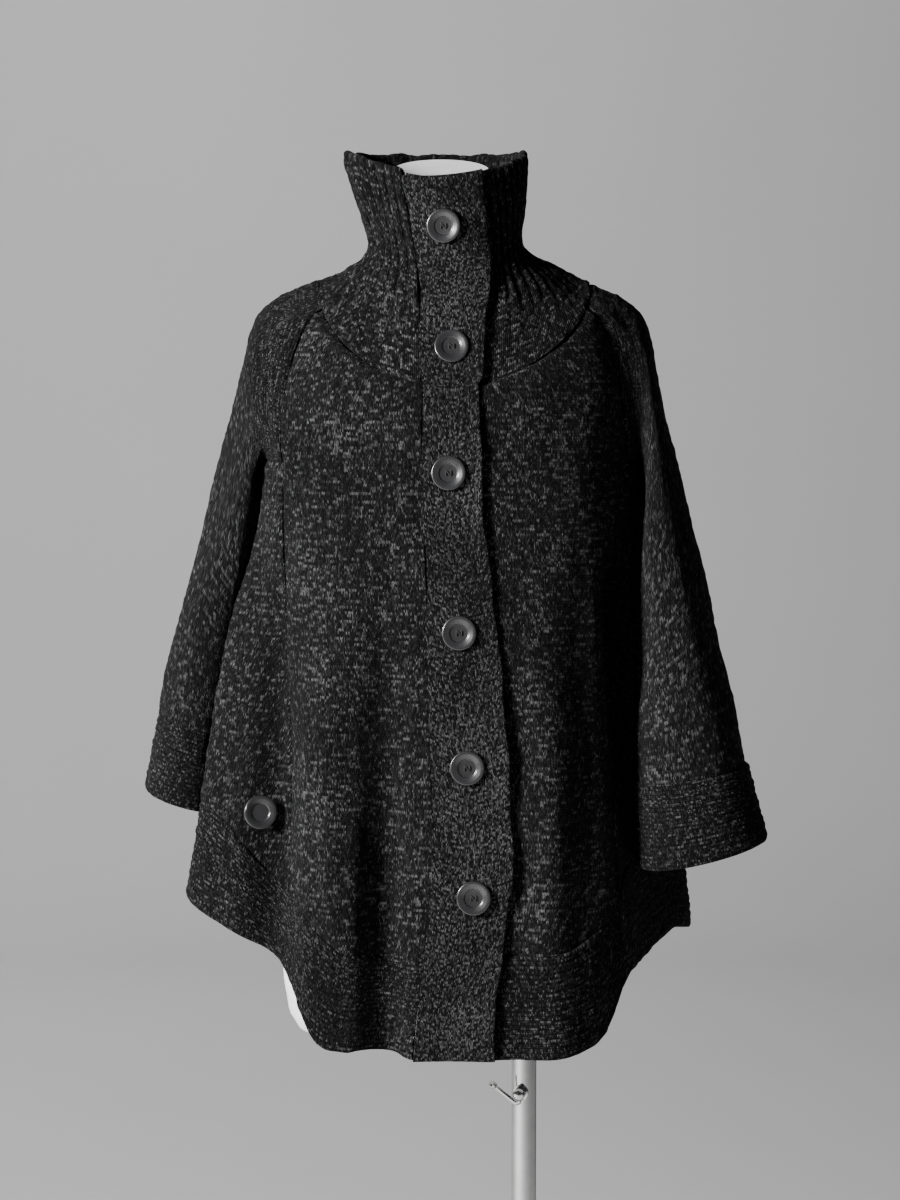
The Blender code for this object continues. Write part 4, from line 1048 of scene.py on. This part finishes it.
def make_panels():
    for name, columns, width, sides, seed in (
        ("front_right", 44, 0.16, ("last", "top"), 1),
        ("front_left", 44, 0.16, ("first", "top"), 2),
        ("back", 92, 0.33, ("first", "last", "top"), 3),
    ):
        shares = seamed_shares(columns, width)
        lower = hanging_grid(name, shares, 130, 0, 1)
        grid = np.concatenate((shoulder_grid(name, shares, SHOULDER_ROWS), lower))
        make_panel(name, grid, seed, SHOULDER_ROWS, ((sides, SEAM), (("bottom",), BAND_SEAM)))
    for name, seed in (("side_right", 4), ("side_left", 5)):
        grid = hanging_grid(name, seamed_shares(54, 0.22), 111, 0, 1)
        make_panel(name, grid, seed, 0, ((("first", "last"), SEAM), (("top", "bottom"), SOFT_SEAM)))


def make_sleeves():
    for side, outward, seed in (("right", -1, 6), ("left", 1, 7)):
        grid = sleeve_grid(side, 4, 20)
        piece = Cloth("sleeve_" + side, grid, PANEL, True, outward)
        piece.relief += ripple(grid, 0.0012, 0.08, seed)
        piece.add_folds(SLEEVE_FOLDS)
        piece.seam_groove(("top", "bottom"), *SOFT_SEAM)
        piece.shift_knit(seed)
        piece.build(PANEL_KNIT, step=4)
        grid = cuff_grid(side, 96, RIDGE_CELLS * CUFF_RIDGES)
        cuff = Cloth("cuff_" + side, grid, RIBBED, True, outward)
        raise_ridges(cuff, CUFF_RIDGES)
        cuff.relief += ripple(grid, 0.0006, 0.08, seed + 20)
        cuff.free = ((-1, 0),)
        cuff.shift_knit(seed, 44 * RIDGE_PITCH)
        cuff.build(RIDGE_KNIT, step=4)


def raise_ridges(piece, count):
    """Round ridges that run along a band, each a row of small bumps."""
    phase = np.linspace(0, count, piece.grid.shape[0])[:, None]
    beads = 0.85 + 0.15 * np.sin(piece.across / 0.0062 * TAU + np.floor(phase) * 2.1)
    piece.relief += 0.6 * RIDGE_DEPTH * np.abs(np.sin(np.pi * phase)) ** 0.7 * beads
    share = np.linspace(0, 1, piece.grid.shape[0])[:, None]
    piece.uv[..., 1] = share * count * RIDGE_PITCH


# Columns of the hem band's grid below each panel
BAND_CELLS = {"front_right": 48, "side_right": 60, "back": 92, "side_left": 60, "front_left": 48}
HEM_BANDS = {
    "hem_band_right": ("front_right", "side_right"),
    "hem_band_back": ("back",),
    "hem_band_left": ("side_left", "front_left"),
}
# Valley in the band beside the placket: its place and half-width as shares, its depth and the hem's rise there
VALLEY_AT = 0.095
VALLEY_HALF_WIDTH = 0.075
VALLEY_DEPTH = 0.0098
VALLEY_RISE = 0.007


def make_bands():
    for seed, (name, parts) in enumerate(HEM_BANDS.items(), start=8):
        grids = []
        for part in parts:
            shares = np.linspace(0, 1, BAND_CELLS[part] + 1)[1 if grids else 0:]
            grids.append(hanging_grid(part, shares, RIDGE_CELLS * BAND_RIDGES, 1, 2))
        grid = np.concatenate(grids, axis=1)
        piece = Cloth(name, grid, RIBBED)
        if name == "hem_band_right":
            piece.lift(lap_lift(grid))
        raise_ridges(piece, BAND_RIDGES)
        if name == "hem_band_right":
            valley = np.exp(-((piece.across / piece.width[:, None] - VALLEY_AT) / VALLEY_HALF_WIDTH) ** 2)
            piece.relief -= VALLEY_DEPTH * valley
            piece.grid[..., 2] += VALLEY_RISE * valley * np.linspace(0, 1, grid.shape[0])[:, None]
        if name == "hem_band_left":
            piece.relief *= 1 - smooth_step((np.arange(grid.shape[1]) - grid.shape[1] + 9) / 6)
        piece.relief += ripple(grid, 0.0006, 0.08, seed)
        piece.seam_groove(("top",), 0.0008, 0.0028)
        piece.free = ((-1, 0),)
        piece.shift_knit(seed, 44 * RIDGE_PITCH)
        piece.build(RIDGE_KNIT)


# Waves of the collar's rim: size, length and start. How much thicker the rim is, and down to where
RIM_WAVES = ((0.0007, 0.047, 0.0), (0.0004, 0.029, 1.3))
RIM_THICKER = 0.0035
RIM_RUN = 0.035


def make_collar():
    grid = collar_grid(84)
    piece = Cloth("collar", grid, RIBBED)
    piece.lift(lap_lift(grid))
    columns = np.arange(grid.shape[1])
    place = np.linspace(len(COLLAR_RINGS) - 1, 0, grid.shape[0])[:, None]
    ribs = np.abs(np.sin(np.pi * columns / RIB_CELLS)) ** 0.65
    under = 1 - smooth_step((columns - grid.shape[1] + 2 * RIB_CELLS) / RIB_CELLS)
    ribbed = smooth_step((place - BORDER_END + 0.02) / 0.06)
    rim = 1 - 0.6 * smooth_step((place - len(COLLAR_RINGS) + 1.12) / 0.12)
    ribbed_up = 0.35 + 0.65 * smooth_step((place - 0.5) / 1.2)
    piece.relief += (RIB_DEPTH + 0.0003) * ribs * under * ribbed * rim * ribbed_up
    piece.relief += 0.4 * BORDER_PROUD * (1 - ribbed) * under * smooth_step(place / 0.08)
    piece.relief += ripple(grid, 0.0011, 0.06, 11)
    near_rim = smooth_step(1 - piece.down / RIM_RUN)
    piece.inward = piece.inward + RIM_THICKER * near_rim
    waves = sum(size * np.sin(piece.across * TAU / length + start) for size, length, start in RIM_WAVES)
    piece.grid[..., 2] += near_rim * (waves + 0.0009 * ribs * under)
    piece.free = ((0, 0),)
    rib_places = np.broadcast_to(columns / RIB_CELLS * RIB_PITCH, grid.shape[:2])
    piece.uv = np.stack((rib_places, piece.down), axis=-1)
    piece.build(COLLAR_KNIT)


# Waves of the placket's free edge: size, length and start
EDGE_WAVES = ((0.0009, 0.093, 0.4), (0.0003, 0.041, 2.0))
# How far the edge stands up and over what width, and how far the top slants and over what height
EDGE_RAISED = 0.0012
FREE_EDGE_RUN = 0.012
PLACKET_TOP_RISE = 0.004
PLACKET_TOP_RUN = 0.03


def make_front_bands():
    grid = front_band_grid("placket", 20)
    placket = Cloth("placket", grid, PLACKET)
    placket.lift(LAP)
    free_edge = np.exp(-placket.across / FREE_EDGE_RUN)
    wave = sum(size * np.sin(placket.down * TAU / length + start) for size, length, start in EDGE_WAVES)
    placket.grid[..., 0] += wave * free_edge
    slope = 1 - 2 * placket.across / placket.width[:, None]
    placket.grid[..., 2] += PLACKET_TOP_RISE * smooth_step(1 - placket.down / PLACKET_TOP_RUN) * slope
    placket.relief += EDGE_RAISED * free_edge * (1 + wave / 0.003)
    top_roll = np.exp(-((placket.down - 0.011) / 0.0025) ** 2)
    placket.relief += EDGE_RAISED * top_roll * (1 - free_edge)
    placket.relief += ripple(grid, 0.0009, 0.05, 12)
    placket.free = ((0, 0), (-1, 0), (0, 1))
    placket.uv += (3.3, 1.7)
    placket.build(PLACKET_KNIT, step=2)
    band = Cloth("button_band", front_band_grid("button_band", 20), PANEL)
    band.uv += (5.3, 2.7)
    band.build(PLACKET_KNIT, step=4)


def make_buttons():
    grey = plain_material("button_grey", (0.013, 0.013, 0.014), 0.34, 90.0, 0.00008,
                          Specular_IOR_Level=0.8, Coat_Weight=1.0, Coat_Roughness=0.17)
    black = plain_material("button_thread", (0.006, 0.006, 0.006), 0.8, 900.0, 0.0002)
    edge, thick = BUTTON_RADIUS, BUTTON_THICK
    profile = rounded([
        (0.0, 0.0), (edge * 0.86, 0.0), (edge, thick * 0.42), (edge * 0.955, thick),
        (edge * 0.80, thick * 0.97), (edge * 0.60, thick * 0.76), (edge * 0.545, thick * 0.70),
        (edge * 0.52, thick * BUTTON_DISH), (0.0, thick * 0.45),
    ], 0.0009)
    for name in [f"button_{n}" for n in range(1, 7)] + ["side_button_right", "side_button_left"]:
        place = node_place(name)
        lathe(name + "_body", profile, 64, grey, "form", name, place, 40)
        if not name.startswith("side"):
            sew_button(name, place, black)


def sew_button(name, place, thread):
    """Holes and thread: two upright stitches and a slanted one between them."""
    level = BUTTON_THICK * BUTTON_DISH
    hole = [(0.0, level), (HOLE_RADIUS, level + 0.00006), (0.0, level + 0.00012)]
    for n, (x, y) in enumerate(((-1, -1), (-1, 1), (1, -1), (1, 1)), start=1):
        spot = place @ Matrix.Translation((x * HOLE_X, y * HOLE_X, 0.0))
        lathe(f"{name}_hole_{n}", hole, 16, thread, "form", None, spot)
    routes = (((-1, -1), (-1, 1)), ((1, -1), (1, 1)), ((-1, 1), (1, -1)))
    for n, (start, end) in enumerate(routes, start=1):
        path = []
        for share in np.linspace(0, 1, 7):
            x, y = (HOLE_X * between(*ends, share) for ends in zip(start, end))
            path.append(place @ Vector((x, y, level + 0.0001 + 0.0009 * math.sin(math.pi * share) ** 0.5)))
        swept(f"{name}_thread_{n}", path, THREAD_RADIUS, 8, thread, "form")


def make_form():
    white = plain_material("form_white", (0.90, 0.90, 0.89), 0.38, 14.0, 0.00004)
    knots = np.array([row[0] for row in FORM_RINGS])
    steps = [np.linspace(a, b, max(2, int((b - a) / 0.006)) + 1)[:-1] for a, b in zip(knots, knots[1:])]
    heights = np.append(np.concatenate(steps), knots[-1])
    angle = np.arange(96) * 3.75
    points = []
    for z, half_width, front, back, tilt in zip(heights, *curve(FORM_RINGS, heights)):
        ring = ray(angle) * ring_reach(angle, half_width, half_width, front, back, FORM_SQUARE)[:, None]
        ring[:, 0] += NECK_SHIFT * smooth_step((z - NECK_START) / NECK_BEND) + FORM_AXIS_X
        ring[:, 2] = z + tilt * ring[:, 1]
        points.append(ring)
    faces = ring_faces(len(heights), len(angle))
    form = add_mesh("dress_form_shell", np.concatenate(points), faces, white, sharp=40)
    turn_outward(form.data)
    place_piece(form, "form", "dress_form")


def make_stand():
    chrome = plain_material("chrome_tube", (0.58, 0.575, 0.57), 0.12, 40.0, 0.00001, 1.0)
    steel = plain_material("brushed_base", (0.60, 0.60, 0.60), 0.34, 60.0, 0.00003, 1.0, Anisotropic=0.5)
    plate = rounded([(0.0, 0.0), (BASE_RADIUS, 0.0), (BASE_RADIUS, BASE_THICK), (0.0, BASE_THICK)], 0.0022, 5)
    lathe("base_plate", plate, 160, steel, "stand", "base")
    foot = BASE_THICK + 0.0003
    outside, end = SLEEVE_TUBE_RADIUS, SLEEVE_TUBE_TOP
    bore = outside - TUBE_WALL
    tube = [
        (bore, foot + 0.004), (bore, end - 0.0004), (outside - 0.0008, end),
        (outside - 0.0004, end - 0.0001), (outside, end - 0.0006), (outside, foot),
    ]
    lathe("tube_outer", tube, 72, chrome, "stand", "outer_tube")
    top = FORM_RINGS[0][0] + BORE_DEPTH - 0.0004
    bar = rounded([(0.0, MAST_FOOT), (MAST_RADIUS, MAST_FOOT), (MAST_RADIUS, top), (0.0, top)], 0.001)
    lathe("mast_bar", bar, 72, chrome, "mast", "mast")
    for name in ("clamp_boss", "clamp_screw", "clamp_handle"):
        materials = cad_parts[name].data.materials
        materials.clear()
        materials.append(chrome)


# Plain floor that sweeps up into the wall behind it
FLOOR_HALF_WIDTH = 9.0
SWEEP_Y = 3.6
SWEEP_RADIUS = 2.6
WALL_TOP = 9.0

LIGHTS = (
    # name, place, aimed at, size, power
    ("key", (-2.45, -2.00, 2.05), (FORM_AXIS_X, 0.0, 1.12), 0.8, 360.0),
    ("fill", (2.6, -3.2, 1.7), (0.0, 0.0, 1.1), 2.4, 3.0),
    ("backdrop", (-1.6, 2.4, 3.4), (-0.6, 6.0, 1.4), 2.2, 80.0),
)


def make_camera():
    camera = bpy.data.objects.new("camera", bpy.data.cameras.new("camera"))
    bpy.context.scene.collection.objects.link(camera)
    camera.location = (FORM_AXIS_X, -2.7, 1.315)
    camera.rotation_euler = (math.radians(90 - 4.24), 0.0, 0.0)
    camera.data.sensor_fit = "AUTO"
    camera.data.sensor_width = 36.0
    # The photo's focal length is 2707.4 of its pixels, and its height is 1200
    camera.data.lens = 36.0 * 2707.4 / 1200
    bpy.context.scene.camera = camera


def make_floor():
    graph = Graph("pale_floor", 0.85, Specular_IOR_Level=0.2)
    place = graph.node("TexCoord", {}).outputs["Object"]
    cloud = graph.noise(place, 0.9, 4.0, 0.6)
    graph.connect("Base Color", graph.mix(cloud, (0.56, 0.56, 0.56), (0.62, 0.62, 0.62)))
    sweep = [(-FLOOR_HALF_WIDTH, 0.0), (SWEEP_Y, 0.0)]
    for turn in np.radians(np.arange(3, 91, 3)):
        sweep.append((SWEEP_Y + SWEEP_RADIUS * math.sin(turn), SWEEP_RADIUS * (1 - math.cos(turn))))
    sweep.append((SWEEP_Y + SWEEP_RADIUS, WALL_TOP))
    corners = [(x, y, z) for y, z in sweep for x in (-FLOOR_HALF_WIDTH, FLOOR_HALF_WIDTH)]
    faces = [(2 * n, 2 * n + 1, 2 * n + 3, 2 * n + 2) for n in range(len(sweep) - 1)]
    add_mesh("floor", corners, faces, graph.material)


def make_lights():
    world = bpy.data.worlds.new("studio")
    world.use_nodes = True
    background = world.node_tree.nodes["Background"].inputs
    background["Color"].default_value = (0.80, 0.81, 0.83, 1.0)
    background["Strength"].default_value = 0.07
    bpy.context.scene.world = world
    for name, spot, aim, size, power in LIGHTS:
        light = bpy.data.objects.new(name, bpy.data.lights.new(name, "AREA"))
        light.data.size = size
        light.data.energy = power
        light.location = spot
        light.rotation_euler = (Vector(aim) - Vector(spot)).to_track_quat("-Z", "Y").to_euler()
        bpy.context.scene.collection.objects.link(light)


make_form()
make_panels()
make_sleeves()
make_bands()
make_collar()
make_front_bands()
make_buttons()
make_stand()
make_camera()
make_floor()
make_lights()
